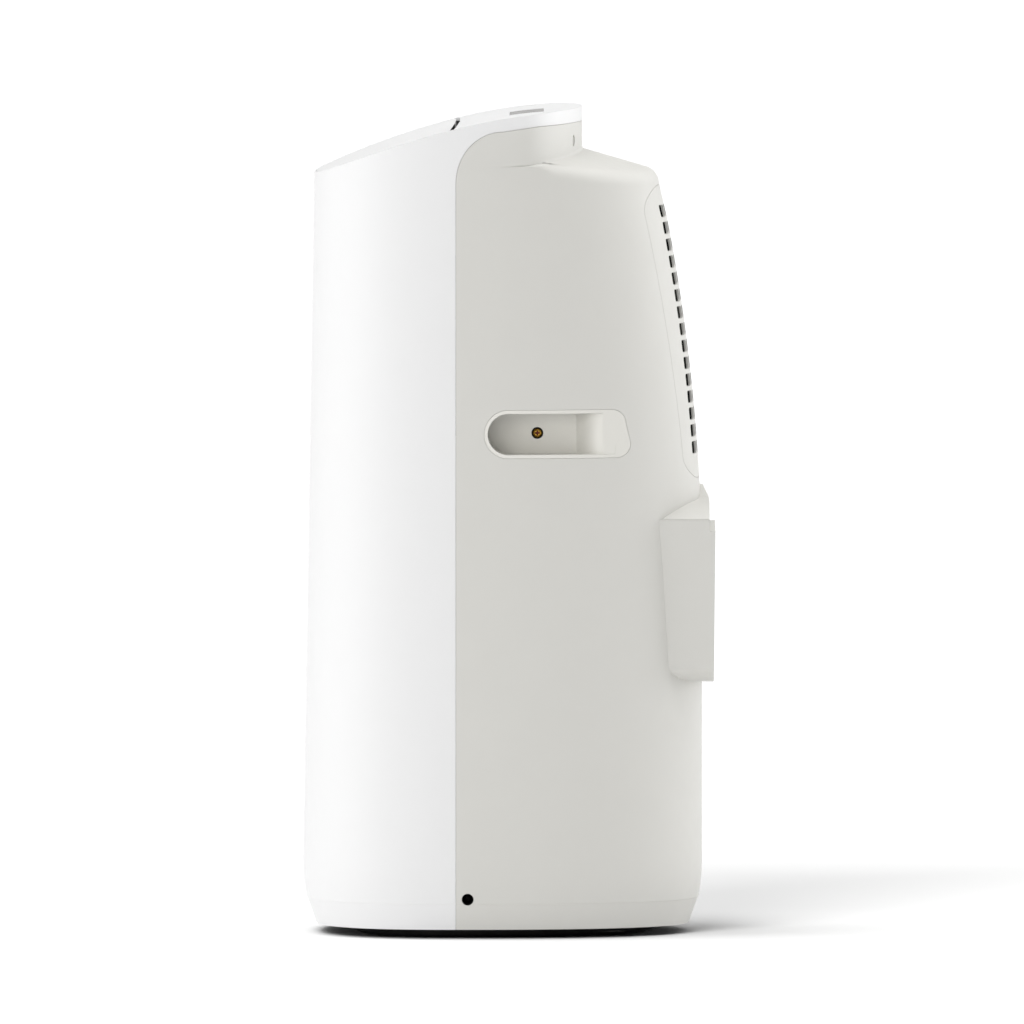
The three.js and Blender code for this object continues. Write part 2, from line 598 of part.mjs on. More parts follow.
// ---------------------------------------------------------------- intake grille and filter
const slotsTop = GRILLE.top - SLOTS.margin;
const slotPitch = (slotsTop - GRILLE.bottom - SLOTS.margin) / SLOTS.rows;
const slotHeight = SLOTS.open * slotPitch;
let slots = null;
for (let row = 0; row < SLOTS.rows; row++) {
  const top = slotsTop - row * slotPitch;
  const end = THREE.MathUtils.lerp(SLOTS.halfTop, SLOTS.halfBottom, row / (SLOTS.rows - 1));
  const pitch = (2 * end + SLOTS.rib) / SLOTS.columns;
  for (let column = 0; column < SLOTS.columns; column++) {
    const left = -end + column * pitch;
    const slot = box([left, left + pitch - SLOTS.rib], [NECK_REAR, OUTSIDE], [top - slotHeight, top]);
    slots = slots ? slots.add(slot) : slot;
  }
}
const grille = rearOuter
  .subtract(rearInner)
  .intersect(throughBack(grilleOutline(0)))
  .subtract(slots);
piece("intake_grille", grille, GREY());
const filter = rearForm(FILTER.from)
  .subtract(rearForm(FILTER.to))
  .intersect(throughBack(grilleOutline(FILTER.inset)));
piece("filter_screen", filter, DARK());

// ---------------------------------------------------------------- exhaust housing, hood, collar, guard
const around = rearForm(-GAP); // the body's surface with a small clearance
const boxFront = REAR_REACH / 2; // inside the casing, ahead of everything that stands out of the back
const { corner: low } = HOUSING;
const housingOutline = [
  ...arc(HOUSING.halfBottom - low.x, HOUSING.bottom + low.z, low.x, low.z, -90, 0, 5),
  [HOUSING.halfTop, HOUSING.top],
];
const housingBlock = prismY(
  [...housingOutline, ...housingOutline.map(([x, z]) => [-x, z]).reverse()],
  boxFront, HOUSING.rear,
);
const hoodRear = HOUSING.rear - HOOD.setBack;
// Behind the hood the housing's top edge is a low arch.
const [lipWide, lipOver] = [HOUSING.halfTop + 5, HOUSING.top + 5];
const lipArch = [
  [-lipWide, HOUSING.top - HOUSING.lip.side], [0, HOUSING.top - HOUSING.lip.middle],
  [lipWide, HOUSING.top - HOUSING.lip.side],
];
const lipCut = prismY([...lipArch, [lipWide, lipOver], [-lipWide, lipOver]], hoodRear, OUTSIDE);
const housing = housingBlock.subtract(around).subtract(ductHole).subtract(lipCut);
piece("exhaust_housing", housing, GREY());

const hoodLow = HOUSING.top + GAP;
const hoodTop = HOUSING.top + HOOD.rise.middle;
const hoodArch = Array.from({ length: 13 }, (_, i) => {
  const share = 1 - i / 6;
  const drop = (HOOD.rise.middle - HOOD.rise.side) * Math.abs(share) ** 1.8;
  return [HOOD.halfWidth * share, hoodTop - drop];
});
const hoodProfile = [
  [boxFront, hoodLow], [hoodRear, hoodLow], [hoodRear, hoodTop - HOOD.chamfer.z],
  [hoodRear - HOOD.chamfer.y, hoodTop + 1], [boxFront, hoodTop + 1],
];
const hoodBlock = prismY(
  [[-HOOD.halfWidth, hoodLow], [HOOD.halfWidth, hoodLow], ...hoodArch], boxFront, HOUSING.rear,
);
const hood = hoodBlock
  .intersect(prismX(hoodProfile, -HOOD.halfWidth - 1, HOOD.halfWidth + 1))
  .subtract(around);
piece("duct_hood", hood, GREY());

const collarRear = HOUSING.rear - 1;
const collarFront = HOUSING.rear - DUCT.depth;
const collarRing = turned(
  [
    [DUCT_BORE, 0], [DUCT.opening - GAP, 0], [DUCT.opening - GAP, collarRear - collarFront],
    [DUCT_BORE, collarRear - collarFront], [DUCT_BORE, 0],
  ],
  28,
).rotateX(-Math.PI / 2);
let collar = solid(collarRing.translate(0, collarFront, DUCT.z));
for (const side of [-1, 1]) {
  // a lug on each side holds the hose end by a quarter turn
  const reach = [side * (DUCT_BORE - 3), side * (DUCT_BORE + 1)].sort((a, b) => a - b);
  collar = collar.add(box(reach, [collarRear - 8, collarRear - 4], [DUCT.z - 9, DUCT.z + 9]));
}
piece("duct_collar", collar, DARK());

const guardY = [collarFront + 2, collarFront + 5];
const guardRing = (outer, inner) =>
  rod(outer, [0, guardY[0], DUCT.z], [0, guardY[1], DUCT.z], 24)
    .subtract(rod(inner, [0, guardY[0] - 1, DUCT.z], [0, guardY[1] + 1, DUCT.z], 24));
let guard = union(
  guardRing(DUCT_BORE - GAP, DUCT_BORE - 4),
  guardRing(DUCT_BORE / 2 + 1, DUCT_BORE / 2 - 2),
);
for (const angle of [0, 60, 120]) {
  const bar = box([-DUCT_BORE + 2, DUCT_BORE - 2], guardY, [-1.3, 1.3]);
  guard = guard.add(shifted(spun(bar, Y, angle), 0, 0, DUCT.z));
}
piece("exhaust_guard", guard, DARK());

// ---------------------------------------------------------------- handle inserts and screws
// The pocket's floor is flat, then rises to meet the outer surface.
const rampSteps = 6;
const ramp = Array.from({ length: rampSteps + 1 }, (_, i) => {
  const share = i / rampSteps;
  const y = THREE.MathUtils.lerp(HANDLE_RAMP.from, HANDLE_RAMP.to, share);
  const lift = 1 - (1 - share ** 1.3) ** 3;
  return [THREE.MathUtils.lerp(HANDLE_FLOOR_X, widthAt(y, HANDLE.z, 0), lift), y];
});
const pocketPlan = [
  [HANDLE_FLOOR_X, HANDLE.front - 20], ...ramp, [OUTSIDE, HANDLE_RAMP.to], [OUTSIDE, HANDLE.front - 20],
];
const pocket = prismX(handleOutline(HANDLE.lip), HANDLE_FLOOR_X - 8, OUTSIDE)
  .intersect(prismZ(pocketPlan.reverse(), HANDLE.z - HANDLE.height, HANDLE.z + HANDLE.height));
const screwSeatX = HANDLE_FLOOR_X - SCREW.headHeight;
const screwWell = union(
  rod(SCREW.hole, [screwSeatX, HANDLE_SCREW_Y, HANDLE.z], [HANDLE_FLOOR_X + 5, HANDLE_SCREW_Y, HANDLE.z], 20),
  rod(
    SCREW.shank + RUNNING,
    [HANDLE_FLOOR_X - 8, HANDLE_SCREW_Y, HANDLE.z], [HANDLE_FLOOR_X, HANDLE_SCREW_Y, HANDLE.z], 12,
  ),
);
const handleInsert = prismX(handleOutline(0), HANDLE_FLOOR_X - HANDLE_FLOOR, OUTSIDE)
  .intersect(rearOuter)
  .subtract(pocket)
  .subtract(screwWell);
piece("handle_insert_right", handleInsert, GREY());
piece("handle_insert_left", mirrored(handleInsert), GREY());

// A pan-head screw along +X with a cross recess, its head's underside at the origin.
const crossBar = (degrees) =>
  spun(box([SCREW.headHeight - 1.4, 8], [-2.4, 2.4], [-0.5, 0.5]), X, degrees);
const screwShape = union(
  rod(SCREW.head, [0, 0, 0], [SCREW.headHeight, 0, 0], 14),
  rod(SCREW.shank, [-SCREW.length, 0, 0], [1, 0, 0], 8),
).subtract(union(crossBar(0), crossBar(90)));
function screwPair(name, x, y, z, material) {
  piece(`${name}_right`, screwShape, material, groupAt(x, y, z));
  const left = groupAt(-x, y, z);
  left.rotation.z = Math.PI;
  piece(`${name}_left`, screwShape, material, left);
}
screwPair("handle_screw", screwSeatX + GAP, HANDLE_SCREW_Y, HANDLE.z, BRASS());
screwPair("base_screw", BASE_SCREW.seatX + GAP, BASE_SCREW.y, BASE_SCREW.z, STEEL());

const neckCap = rod(NECK_CAP.radius, capPoint(-NECK_CAP.depth), capPoint(-0.4), 20);
piece("neck_screw_cap_right", neckCap, finish(0xbab9b4, 0.6));
piece("neck_screw_cap_left", mirrored(neckCap), finish(0xbab9b4, 0.6));

// ---------------------------------------------------------------- base pan and casters
const basePoint = (angle, z, inset) =>
  planPoint(angle, HALF_WIDTH - inset, SEAM_Y + FRONT_REACH - inset, PLAN_POWER,
    REAR_REACH - SEAM_Y - inset, PLAN_POWER);
const panSkin = SKIRT_INSET + WALL + GAP + 0.6;
const panUpper = (inset) => (angle, z) => basePoint(angle, z, skirtInset(z) + WALL + GAP + 0.6 + inset);
const panRings = [
  ring(basePoint, BASE.bottom, BASE.sole),
  ring(basePoint, SHELL_BOTTOM - GAP, BASE.inset),
  ring(basePoint, BASE.rimTop, panSkin),
  ...[SKIRT_EDGE, BASE.top].map((z) => ring(panUpper(0), z, 0)),
];
const casterPlaces = [
  ["front_right", CASTER.x, CASTER.front], ["front_left", -CASTER.x, CASTER.front],
  ["rear_right", CASTER.x, CASTER.rear], ["rear_left", -CASTER.x, CASTER.rear],
];
let pan = loft(panRings);
const trayRings = [
  ring(basePoint, BASE.floor, panSkin + BASE.wall),
  ring(panUpper(BASE.wall), SKIRT_EDGE, 0),
  ring(panUpper(BASE.wall), BASE.top + 5, 0),
];
pan = pan.subtract(loft(trayRings));
for (const [, x, y] of casterPlaces) {
  const pocketWall = CASTER_POCKET + BASE.wall;
  pan = pan.add(rod(pocketWall, [x, y, BASE.bottom + 1], [x, y, CASTER_CEILING + BASE.wall], 18));
  pan = pan.add(rod(CASTER.stem + 5, [x, y, CASTER_CEILING], [x, y, BASE.top], 12));
}
for (const [, x, y] of casterPlaces) {
  pan = pan.subtract(rod(CASTER_POCKET, [x, y, -5], [x, y, CASTER_CEILING], 18));
  pan = pan.subtract(rod(CASTER.stem + RUNNING, [x, y, 20], [x, y, BASE.top + 3], 12));
}
const screwBlock = (side) => {
  const reach = [side * (BASE_SCREW.seatX - 14), side * (BASE_SCREW.seatX + 5)].sort((a, b) => a - b);
  return box(reach, [BASE_SCREW.y - 8, BASE_SCREW.y + 8], [BASE.floor - 1, BASE.top]);
};
const screwBore = union(
  sideHole(SCREW.hole, BASE_SCREW.seatX, BASE_SCREW, 20),
  sideHole(SCREW.shank + RUNNING, BASE_SCREW.seatX - 20, BASE_SCREW, 12),
);
pan = pan.add(union(screwBlock(1), screwBlock(-1))).subtract(union(screwBore, mirrored(screwBore)));
piece("base_pan", pan, BLACK());

// A swivel fork: its stem on the Z axis, the wheel's axle behind it by the trail.
const forkTop = CASTER_CEILING - 1;
const forkInside = CASTER.width / 2 + 1;
const cheekOutline = [
  ...arc(CASTER.trail, CASTER.wheel, 5, 5, -180, 0, 4), [9, forkTop], [-8, forkTop],
];
const cheek = prismX(cheekOutline, forkInside, forkInside + CASTER.cheek);
const forkWidth = forkInside + CASTER.cheek;
const axleHole = rod(2 + RUNNING, [-30, CASTER.trail, CASTER.wheel], [30, CASTER.trail, CASTER.wheel], 12);
const fork = union(
  cheek,
  mirrored(cheek),
  box([-forkWidth, forkWidth], [-8, 9], [forkTop - 3, forkTop]),
  rod(CASTER.stem, [0, 0, forkTop - 1], [0, 0, BASE.top - 1], 12),
).subtract(axleHole);
// The wheel lies on a flat of its tread, with stub axles that run in the cheeks.
const treadSides = 16;
const treadRadius = CASTER.wheel / Math.cos(Math.PI / treadSides);
const wheelAt = [CASTER.trail, CASTER.wheel];
const tread = rod(treadRadius, [-CASTER.width / 2, 0, 0], [CASTER.width / 2, 0, 0], treadSides);
const wheel = union(
  spun(tread, X, 180 / treadSides),
  rod(2, [-forkWidth, 0, 0], [forkWidth, 0, 0], 12),
);
for (const [place, x, y] of casterPlaces) {
  const caster = groupAt(x, y, 0);
  piece(`caster_fork_${place}`, fork, BLACK(), caster);
  piece(`caster_wheel_${place}`, wheel, DARK(), groupAt(0, ...wheelAt, caster));
}

// ---------------------------------------------------------------- chassis and refrigeration circuit
const chassisInset = WALL + 8;
const chassis = loft([CHASSIS_Z - 2, CHASSIS_Z].map((z) => ring(basePoint, z, chassisInset)));
piece("chassis_plate", chassis, STEEL());

const mountAngles = [90, 210, 330];
const mountTop = CHASSIS_Z + GAP + MOUNT.height;
mountAngles.forEach((degrees, i) => {
  const angle = THREE.MathUtils.degToRad(degrees);
  const place = groupAt(
    COMPRESSOR.x + MOUNT.circle * Math.cos(angle),
    COMPRESSOR.y + MOUNT.circle * Math.sin(angle),
    CHASSIS_Z + GAP,
  );
  const waist = MOUNT.radius - 2;
  const profile = [
    [0, 0], [MOUNT.radius, 0], [MOUNT.radius, 4], [waist, 5], [waist, 8],
    [MOUNT.radius, 9], [MOUNT.radius, MOUNT.height], [0, MOUNT.height],
  ];
  piece(`compressor_mount_${i + 1}`, turned(profile, 12), BLACK(), place);
});
const { radius: canRadius, bottom: canBottom, top: canTop } = COMPRESSOR;
const canProfile = [
  [0, canBottom], [canRadius * 0.7, canBottom], [canRadius * 0.95, canBottom + 12],
  [canRadius, canBottom + 26], [canRadius, canTop - 30], [canRadius * 0.92, canTop - 14],
  [canRadius * 0.6, canTop - 3], [0, canTop],
];
const footPlate = mountAngles.map((degrees) => {
  const angle = THREE.MathUtils.degToRad(degrees);
  const [fx, fy] = [MOUNT.circle * Math.cos(angle), MOUNT.circle * Math.sin(angle)];
  const pad = rod(12, [fx, fy, mountTop + GAP], [fx, fy, mountTop + GAP + 3], 16);
  const arm = box([0, MOUNT.circle], [-10, 10], [mountTop + GAP, mountTop + GAP + 3]);
  return pad.add(spun(arm, Z, degrees));
});
const can = union(
  solid(turned(canProfile, 28)),
  ...footPlate,
  rod(canRadius * 0.7, [0, 0, mountTop + GAP], [0, 0, canBottom + 1], 28),
);
piece("compressor", can, BLACK(), groupAt(COMPRESSOR.x, COMPRESSOR.y, 0));

const { radius: bottle, bottom: bottleLow, top: bottleHigh } = ACCUMULATOR;
const bottleProfile = [
  [0, bottleLow], [bottle * 0.8, bottleLow + 3], [bottle, bottleLow + 12],
  [bottle, bottleHigh - 12], [bottle * 0.6, bottleHigh - 2], [0, bottleHigh],
];
piece("accumulator", turned(bottleProfile, 20), BLACK(), groupAt(ACCUMULATOR.x, ACCUMULATOR.y, 0));

// A finned coil: a block of fins between end plates, with return bends standing out of each end.
function coil({ bottom, top }) {
  const { halfWidth: half, front, rear, bend: reach } = COIL;
  let body = box([-half, half], [front, rear], [bottom, top]);
  for (const side of [-1, 1]) {
    const plate = [side * half, side * (half + 2)].sort((a, b) => a - b);
    body = body.add(box([plate[0], plate[1]], [front - 2, rear + 2], [bottom - 1, top + 1]));
    for (let z = bottom + 18; z < top - 10; z += 36) {
      const out = side * (half + 2 + reach);
      const from = side * half;
      const loop = union(
        rod(3.5, [from, front + 8, z], [out, front + 8, z], 8),
        rod(3.5, [from, rear - 8, z], [out, rear - 8, z], 8),
        rod(3.5, [out, front + 8 - 2, z], [out, rear - 8 + 2, z], 8),
      );
      body = body.add(loop);
    }
  }
  return body;
}
piece("condenser_coil", coil(CONDENSER), COPPER());
piece("evaporator_coil", coil(EVAPORATOR), ALUMINIUM());

// A pipe through points, as a round section drawn along a smooth curve.
function pipe(radius, points, steps) {
  const stops = points.map((p) => new THREE.Vector3(...p));
  const path = new THREE.CatmullRomCurve3(stops, false, "centripetal");
  const section = shapeOf(arc(0, 0, radius, radius, 0, 300, 5));
  return new THREE.ExtrudeGeometry(section, { steps, bevelEnabled: false, extrudePath: path });
}
const coilEnd = COIL.halfWidth + COIL.bend + 12;
// The riser beside the exhaust fan, clear of its shroud.
const riserX = SHROUD.inner + SHROUD.wall + 20;
piece("discharge_pipe", pipe(4, [
  [COMPRESSOR.x, COMPRESSOR.y, canTop + 1], [COMPRESSOR.x, COMPRESSOR.y, canTop + 8],
  [10 - riserX, 34, canTop + 18], [-riserX, 34, canTop + 46], [-riserX, 34, CONDENSER.bottom - 36],
  [-coilEnd, 60, CONDENSER.bottom + 24], [-coilEnd, COIL.rear + 3, CONDENSER.bottom + 44],
  [-coilEnd + 6, COIL.rear + 8, CONDENSER.bottom + 54],
], 26), COPPER());
piece("suction_pipe", pipe(4.5, [
  [ACCUMULATOR.x, ACCUMULATOR.y, bottleHigh + 1], [ACCUMULATOR.x, ACCUMULATOR.y, bottleHigh + 8],
  [riserX - 26, 32, bottleHigh + 24], [riserX, 34, bottleHigh + 52], [riserX, 34, CONDENSER.bottom + 4],
  [coilEnd, 56, EVAPORATOR.bottom - 26], [coilEnd, 60, EVAPORATOR.top - 62],
  [coilEnd - 4, 66, EVAPORATOR.top - 32],
], 26), COPPER());
piece("capillary_tube", pipe(1.6, [
  [coilEnd, COIL.rear - 4, CONDENSER.bottom + 14], [coilEnd + 6, COIL.rear - 6, CONDENSER.bottom + 34],
  [coilEnd + 6, COIL.rear - 6, EVAPORATOR.top - 62], [coilEnd, COIL.rear - 4, EVAPORATOR.top - 42],
], 16), COPPER());

// ---------------------------------------------------------------- room-air blower
// The scroll wraps the wheel and opens upwards into the air outlet.
function scrollOutline(extra, mouth) {
  const front = OUTLET.front + OUTLET.wall - extra;
  const rear = OUTLET.rear + extra - 2;
  const tongueRadius = BLOWER.scroll - 4 + extra;
  return [
    ...arc(BLOWER.y, BLOWER.z, BLOWER.y - front, BLOWER.scroll + extra, 180, 360, 14),
    ...arc(BLOWER.y, BLOWER.z, tongueRadius, tongueRadius, 0, 90, 6).slice(1, -1),
    [rear, BLOWER.z + tongueRadius - 4], [rear, mouth], [front, mouth],
  ];
}
const scrollHalf = BLOWER.halfWidth + 4;
const scrollMouth = OUTLET.bottom - GAP;
const scrollEnd = scrollHalf + OUTLET.wall;
const eye = [-2 * scrollEnd, 2 * scrollEnd].map((x) => [x, BLOWER.y, BLOWER.z]);
const scroll = prismX(scrollOutline(OUTLET.wall, scrollMouth), -scrollEnd, scrollEnd)
  .subtract(prismX(scrollOutline(0, scrollMouth + 10), -scrollHalf, scrollHalf))
  .subtract(rod(BLOWER.eye, ...eye, 32));
piece("blower_housing", scroll, DARK());

const drum = (outer, inner, x0, x1) =>
  rod(outer, [x0, 0, 0], [x1, 0, 0], 24).subtract(rod(inner, [x0 - 1, 0, 0], [x1 + 1, 0, 0], 24));
const wheelHalf = BLOWER.halfWidth - 2;
const bladeInner = BLOWER.radius - 13;
const motorFace = scrollEnd + GAP;
let blowerWheel = union(
  drum(BLOWER.radius, bladeInner, -wheelHalf, -wheelHalf + 4),
  drum(BLOWER.radius, bladeInner, wheelHalf - 4, wheelHalf),
  rod(BLOWER.radius, [-1.5, 0, 0], [1.5, 0, 0], 24),
  rod(12, [-10, 0, 0], [10, 0, 0], 16),
  rod(BLOWER.shaft, [-12, 0, 0], [motorFace + 20, 0, 0], 16),
);
for (let i = 0; i < BLOWER.blades; i++) {
  const chord = [bladeInner + 0.6 - BLOWER.radius, -0.8];
  const blade = spun(box([-wheelHalf + 1, wheelHalf - 1], chord, [-0.9, 0.9]), X, 22);
  const placed = spun(shifted(blade, 0, BLOWER.radius, 0), X, (360 * i) / BLOWER.blades);
  blowerWheel = blowerWheel.add(placed);
}
piece("blower_wheel", blowerWheel, DARK(), groupAt(0, BLOWER.y, BLOWER.z));

// The motor's plate closes one inlet only in part, on three arms.
const alongX = (radius, x0, x1, sides) => rod(radius, [x0, 0, 0], [x1, 0, 0], sides);
let blowerMotor = alongX(BLOWER_MOTOR.radius, motorFace, motorFace + BLOWER_MOTOR.length, 24);
for (const degrees of mountAngles) {
  const arm = box([motorFace, motorFace + 3], [0, BLOWER.eye + 8], [-5, 5]);
  blowerMotor = blowerMotor.add(spun(arm, X, degrees));
}
const motorBore = alongX(BLOWER.shaft + RUNNING, motorFace - 5, motorFace + 24, 16);
piece("blower_motor", blowerMotor.subtract(motorBore), STEEL(), groupAt(0, BLOWER.y, BLOWER.z));

// ---------------------------------------------------------------- exhaust fan
const alongY = (radius, y0, y1, sides = 20) => rod(radius, [0, y0, 0], [0, y1, 0], sides);
let fan = union(
  alongY(FAN.hub, FAN.front, FAN.rear),
  alongY(FAN.shaft, FAN_MOTOR.rear - 18, FAN.front + 1, 16),
);
for (let i = 0; i < FAN.blades; i++) {
  const blade = spun(box([-13, 13], [-1, 1], [FAN.hub - 3, FAN.radius]), Z, 32);
  const middle = (FAN.front + FAN.rear) / 2;
  fan = fan.add(spun(shifted(blade, 0, middle, 0), Y, (360 * i) / FAN.blades));
}
const fanLimits = union(
  alongY(FAN.radius, FAN.front, FAN.rear, 40),
  alongY(FAN.hub, FAN_MOTOR.front, FAN.front + 1),
);
fan = fan.intersect(fanLimits);
piece("exhaust_fan", fan, DARK(), groupAt(0, 0, DUCT.z));

const fanBore = alongY(FAN.shaft + RUNNING, FAN_MOTOR.rear - 20, FAN_MOTOR.rear + 20, 16);
const fanMotor = alongY(FAN_MOTOR.radius, FAN_MOTOR.front, FAN_MOTOR.rear - GAP).subtract(fanBore);
piece("exhaust_fan_motor", fanMotor, STEEL(), groupAt(0, 0, DUCT.z));

const shroudFloor = SHROUD.front + SHROUD.floor;
let shroud = alongY(SHROUD.inner + SHROUD.wall, SHROUD.front, SHROUD.rear, 36)
  .subtract(alongY(SHROUD.inner, shroudFloor, SHROUD.rear + 1, 36))
  .subtract(alongY(FAN_MOTOR.radius + 12, SHROUD.front - 1, shroudFloor + 1, 24));
for (const degrees of [45, 135]) {
  const arm = box([-SHROUD.inner - 1, SHROUD.inner + 1], [SHROUD.front, shroudFloor], [-4, 4]);
  shroud = shroud.add(spun(arm, Y, degrees));
}
shroud = shroud.subtract(alongY(FAN.shaft + 2, SHROUD.front - 5, SHROUD.front + 5, 16));
piece("fan_shroud", shroud, DARK(), groupAt(0, 0, DUCT.z));

// ---------------------------------------------------------------- control box, drains and gland
const lidX = [CONTROL_BOX.x[1], CONTROL_BOX.x[1] + CONTROL_BOX.lid];
const lidY = [CONTROL_BOX.y[0] + 4, CONTROL_BOX.y[1] - 4];
const lidZ = [CONTROL_BOX.z[0] + 8, CONTROL_BOX.z[1] - 8];
const lidded = box(CONTROL_BOX.x, CONTROL_BOX.y, CONTROL_BOX.z).add(box(lidX, lidY, lidZ));
piece("control_box", lidded, finish(0xd8d8d4, 0.6));

// A rubber plug: its slotted cap fills the hole in the shell, flush, and its shank seals the drain.
function drainPlug(name, z) {
  const shape = union(
    alongY(DRAIN.cap, -DRAIN.thickness, 0),
    alongY(DRAIN.shank, -DRAIN.length, -1, 16),
  ).subtract(box([-7, 7], [-1.2, 1], [-1.2, 1.2]));
  piece(name, shape, finish(0x8f8e8a, 0.8), groupAt(0, rearReach(z) + SEAM_Y - GAP, z));
}
drainPlug("upper_drain_plug", DRAIN_UPPER_Z);
drainPlug("lower_drain_plug", DRAIN_LOWER_Z);

const glandY = yAtWidth(GLAND.x, GLAND.z) - GLAND.sunk;
const gland = alongY(GLAND.radius, -GLAND.length, 0)
  .add(alongY(GLAND.radius + 4, -GLAND.length, -GLAND.length + 3))
  .subtract(alongY(GLAND.bore, -GLAND.length - 1, 1, 16));
piece("cord_gland", gland, DARK(), groupAt(GLAND.x, glandY, GLAND.z));

export default dehumidifier;
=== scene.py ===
"""A floor-standing dehumidifier with a rear exhaust duct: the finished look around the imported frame.

Places and sizes are in millimetres until a mesh is made, and share the frame's axes: +Z up, -Y the front.
"""

import json
import math

import bmesh
import bpy
from mathutils import Matrix, Vector
from mathutils.bvhtree import BVHTree


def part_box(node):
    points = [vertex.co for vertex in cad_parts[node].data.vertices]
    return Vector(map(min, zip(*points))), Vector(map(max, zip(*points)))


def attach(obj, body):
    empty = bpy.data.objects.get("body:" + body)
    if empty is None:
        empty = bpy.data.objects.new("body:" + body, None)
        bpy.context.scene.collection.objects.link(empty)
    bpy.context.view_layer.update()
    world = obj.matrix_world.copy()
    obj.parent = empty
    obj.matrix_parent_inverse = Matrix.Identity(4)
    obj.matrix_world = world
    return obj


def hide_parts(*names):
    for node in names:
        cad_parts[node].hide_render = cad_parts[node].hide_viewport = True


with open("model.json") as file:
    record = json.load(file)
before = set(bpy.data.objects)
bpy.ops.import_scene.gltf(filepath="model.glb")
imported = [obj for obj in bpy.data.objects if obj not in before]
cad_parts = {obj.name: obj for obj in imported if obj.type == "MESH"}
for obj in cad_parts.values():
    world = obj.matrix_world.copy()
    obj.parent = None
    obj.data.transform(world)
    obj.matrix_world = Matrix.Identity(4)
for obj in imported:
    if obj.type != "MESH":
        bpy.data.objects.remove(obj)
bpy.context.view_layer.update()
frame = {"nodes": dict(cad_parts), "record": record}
scene = bpy.context.scene
MM = 0.001

# ------------------------------------------------------------------ sizes shared with the frame
HEIGHT = 702
HALF_WIDTH = 172
FRONT_REACH = 175
REAR_REACH = 164
SIDE_LEAN = 6
FRONT_LEAN = 10.5
WALL = 3
GAP = 0.4
JOINT = 0.15  # the visible line between closed pieces
SEAM_Y = -45
PLAN_POWER = 2.5

SHELL_BOTTOM = 8
SKIRT_EDGE = 30
SKIRT_TOP = 60
SKIRT_INSET = 11
SKIRT_EDGE_INSET = 3
SKIRT_STEP = 0.3

BEND_START = 300
BEND_DEPTH = 36.6
BEND_SPAN = 340
NECK_REAR = 62
NECK_TURN = 10
NECK_POWER = 2.2
SHOULDER_Z = 665.5
SHOULDER_SLOPE = 0.29
SHOULDER_CROWN = 23
SHOULDER_RADIUS = 10
SHOULDER_LEVEL_AHEAD = 30
NECK_FILLET = 2.5
SHOULDER_LEVEL = SHOULDER_Z - 25

CREST_Y = 45
TOP_DROP = 56
TOP_SPAN = 210
TOP_POWER = 1.74
TOP_CROWN = 3
SLAB_ARC_Z = 640
SLAB_ARC_REACH = 40
SLAB_ARC_RISE = 43.8
SLAB_REAR_Z = 690.3
SLAB_TURN_Y = 25

FLAP_THICKNESS = 4
FLAP_RIM = 2
FLAP_REAR = -45.2
FLAP_BOW = 5.3
FLAP_SLOT = 3.7
FLAP_SEAM = 0.35
FLAP_SLOT_FROM = 64
FLAP_PIVOT = {"y": -46, "z": 687.6, "swept": 4.9}

DISPLAY = {"x": 90, "y": 15, "width": 58, "depth": 28, "thickness": 2.5}
BUTTONS = ["button_power", "button_mode", "button_down", "button_up"]
BUTTON_RADIUS = 8
BUTTON_HEIGHT = 5
BUTTON_PITCH = 25
BUTTON_FIRST_X = -115

GRILLE = {"bottom": 387, "top": 635, "half_top": 93, "half_bottom": 79,
          "corner_top": (60, 24), "corner_bottom": (44, 20)}
SLOTS = {"rows": 15, "columns": 4, "open": 0.725, "margin": 16.5,
         "half_top": 55, "half_bottom": 53, "rib": 3.2, "round": 2.4}
RIB_DEPTH = 1.9

HOUSING = {"half_top": 115, "half_bottom": 106.5, "bottom": 214.5, "top": 353.5, "rear": 175,
           "corner": (45, 14),
           "lip": (4.3, 10)}
HOOD = {"half_width": 112, "side_top": 353.9, "swell": 15, "top": 380, "rear": 170, "chamfer": 13}
DUCT = {"z": 284, "opening": 58, "inner": 54, "depth": 34}

HANDLE = {"front": -21, "rear": 103, "z": 427.8, "height": 40.8, "slant": 4, "corner": 12}
HANDLE_FLOOR_X = 128
HANDLE_RAMP = (57, 90)
SCREW = {"head": 4.0, "hole": 5, "shank": 1.9, "head_height": 2.6, "length": 14}
HANDLE_SCREW_Y = 24
BASE_SCREW = {"y": -35, "z": 34}
NECK_CAP = {"radius": 4.5, "y": 54.5, "z": 674, "depth": 4}
DRAIN = {"cap": 11, "thickness": 2.4, "shank": 7, "length": 18, "levels": (165, 84)}
GLAND = {"x": -62, "z": 100, "radius": 9}

AROUND = 168  # points round a fine plan outline
ROUND = 64  # points round a fine circle


# ------------------------------------------------------------------ the outer form
def clamp01(t):
    return min(1.0, max(0.0, t))


def skirt_inset(z):
    """How far the skirt has turned in at a height."""
    if z >= SKIRT_TOP:
        return 0.0
    if z >= SKIRT_EDGE:
        return SKIRT_EDGE_INSET * ((SKIRT_TOP - z) / (SKIRT_TOP - SKIRT_EDGE)) ** 2
    down = (SKIRT_EDGE - z) / (SKIRT_EDGE - SHELL_BOTTOM)
    step = SKIRT_STEP * clamp01((SKIRT_EDGE - z) / SKIRT_STEP)
    return SKIRT_EDGE_INSET + (SKIRT_INSET - SKIRT_EDGE_INSET) * down + step


def rise(z):
    return clamp01((z - SKIRT_TOP) / (HEIGHT - SKIRT_TOP))


def half_width(z):
    return HALF_WIDTH - SIDE_LEAN * rise(z) - skirt_inset(z)


def front_reach(z):
    return SEAM_Y + FRONT_REACH - FRONT_LEAN * rise(z) - skirt_inset(z)


def rear_reach(z):
    bend = BEND_DEPTH * (max(0.0, z - BEND_START) / BEND_SPAN) ** 2
    return REAR_REACH - SEAM_Y - bend - skirt_inset(z)


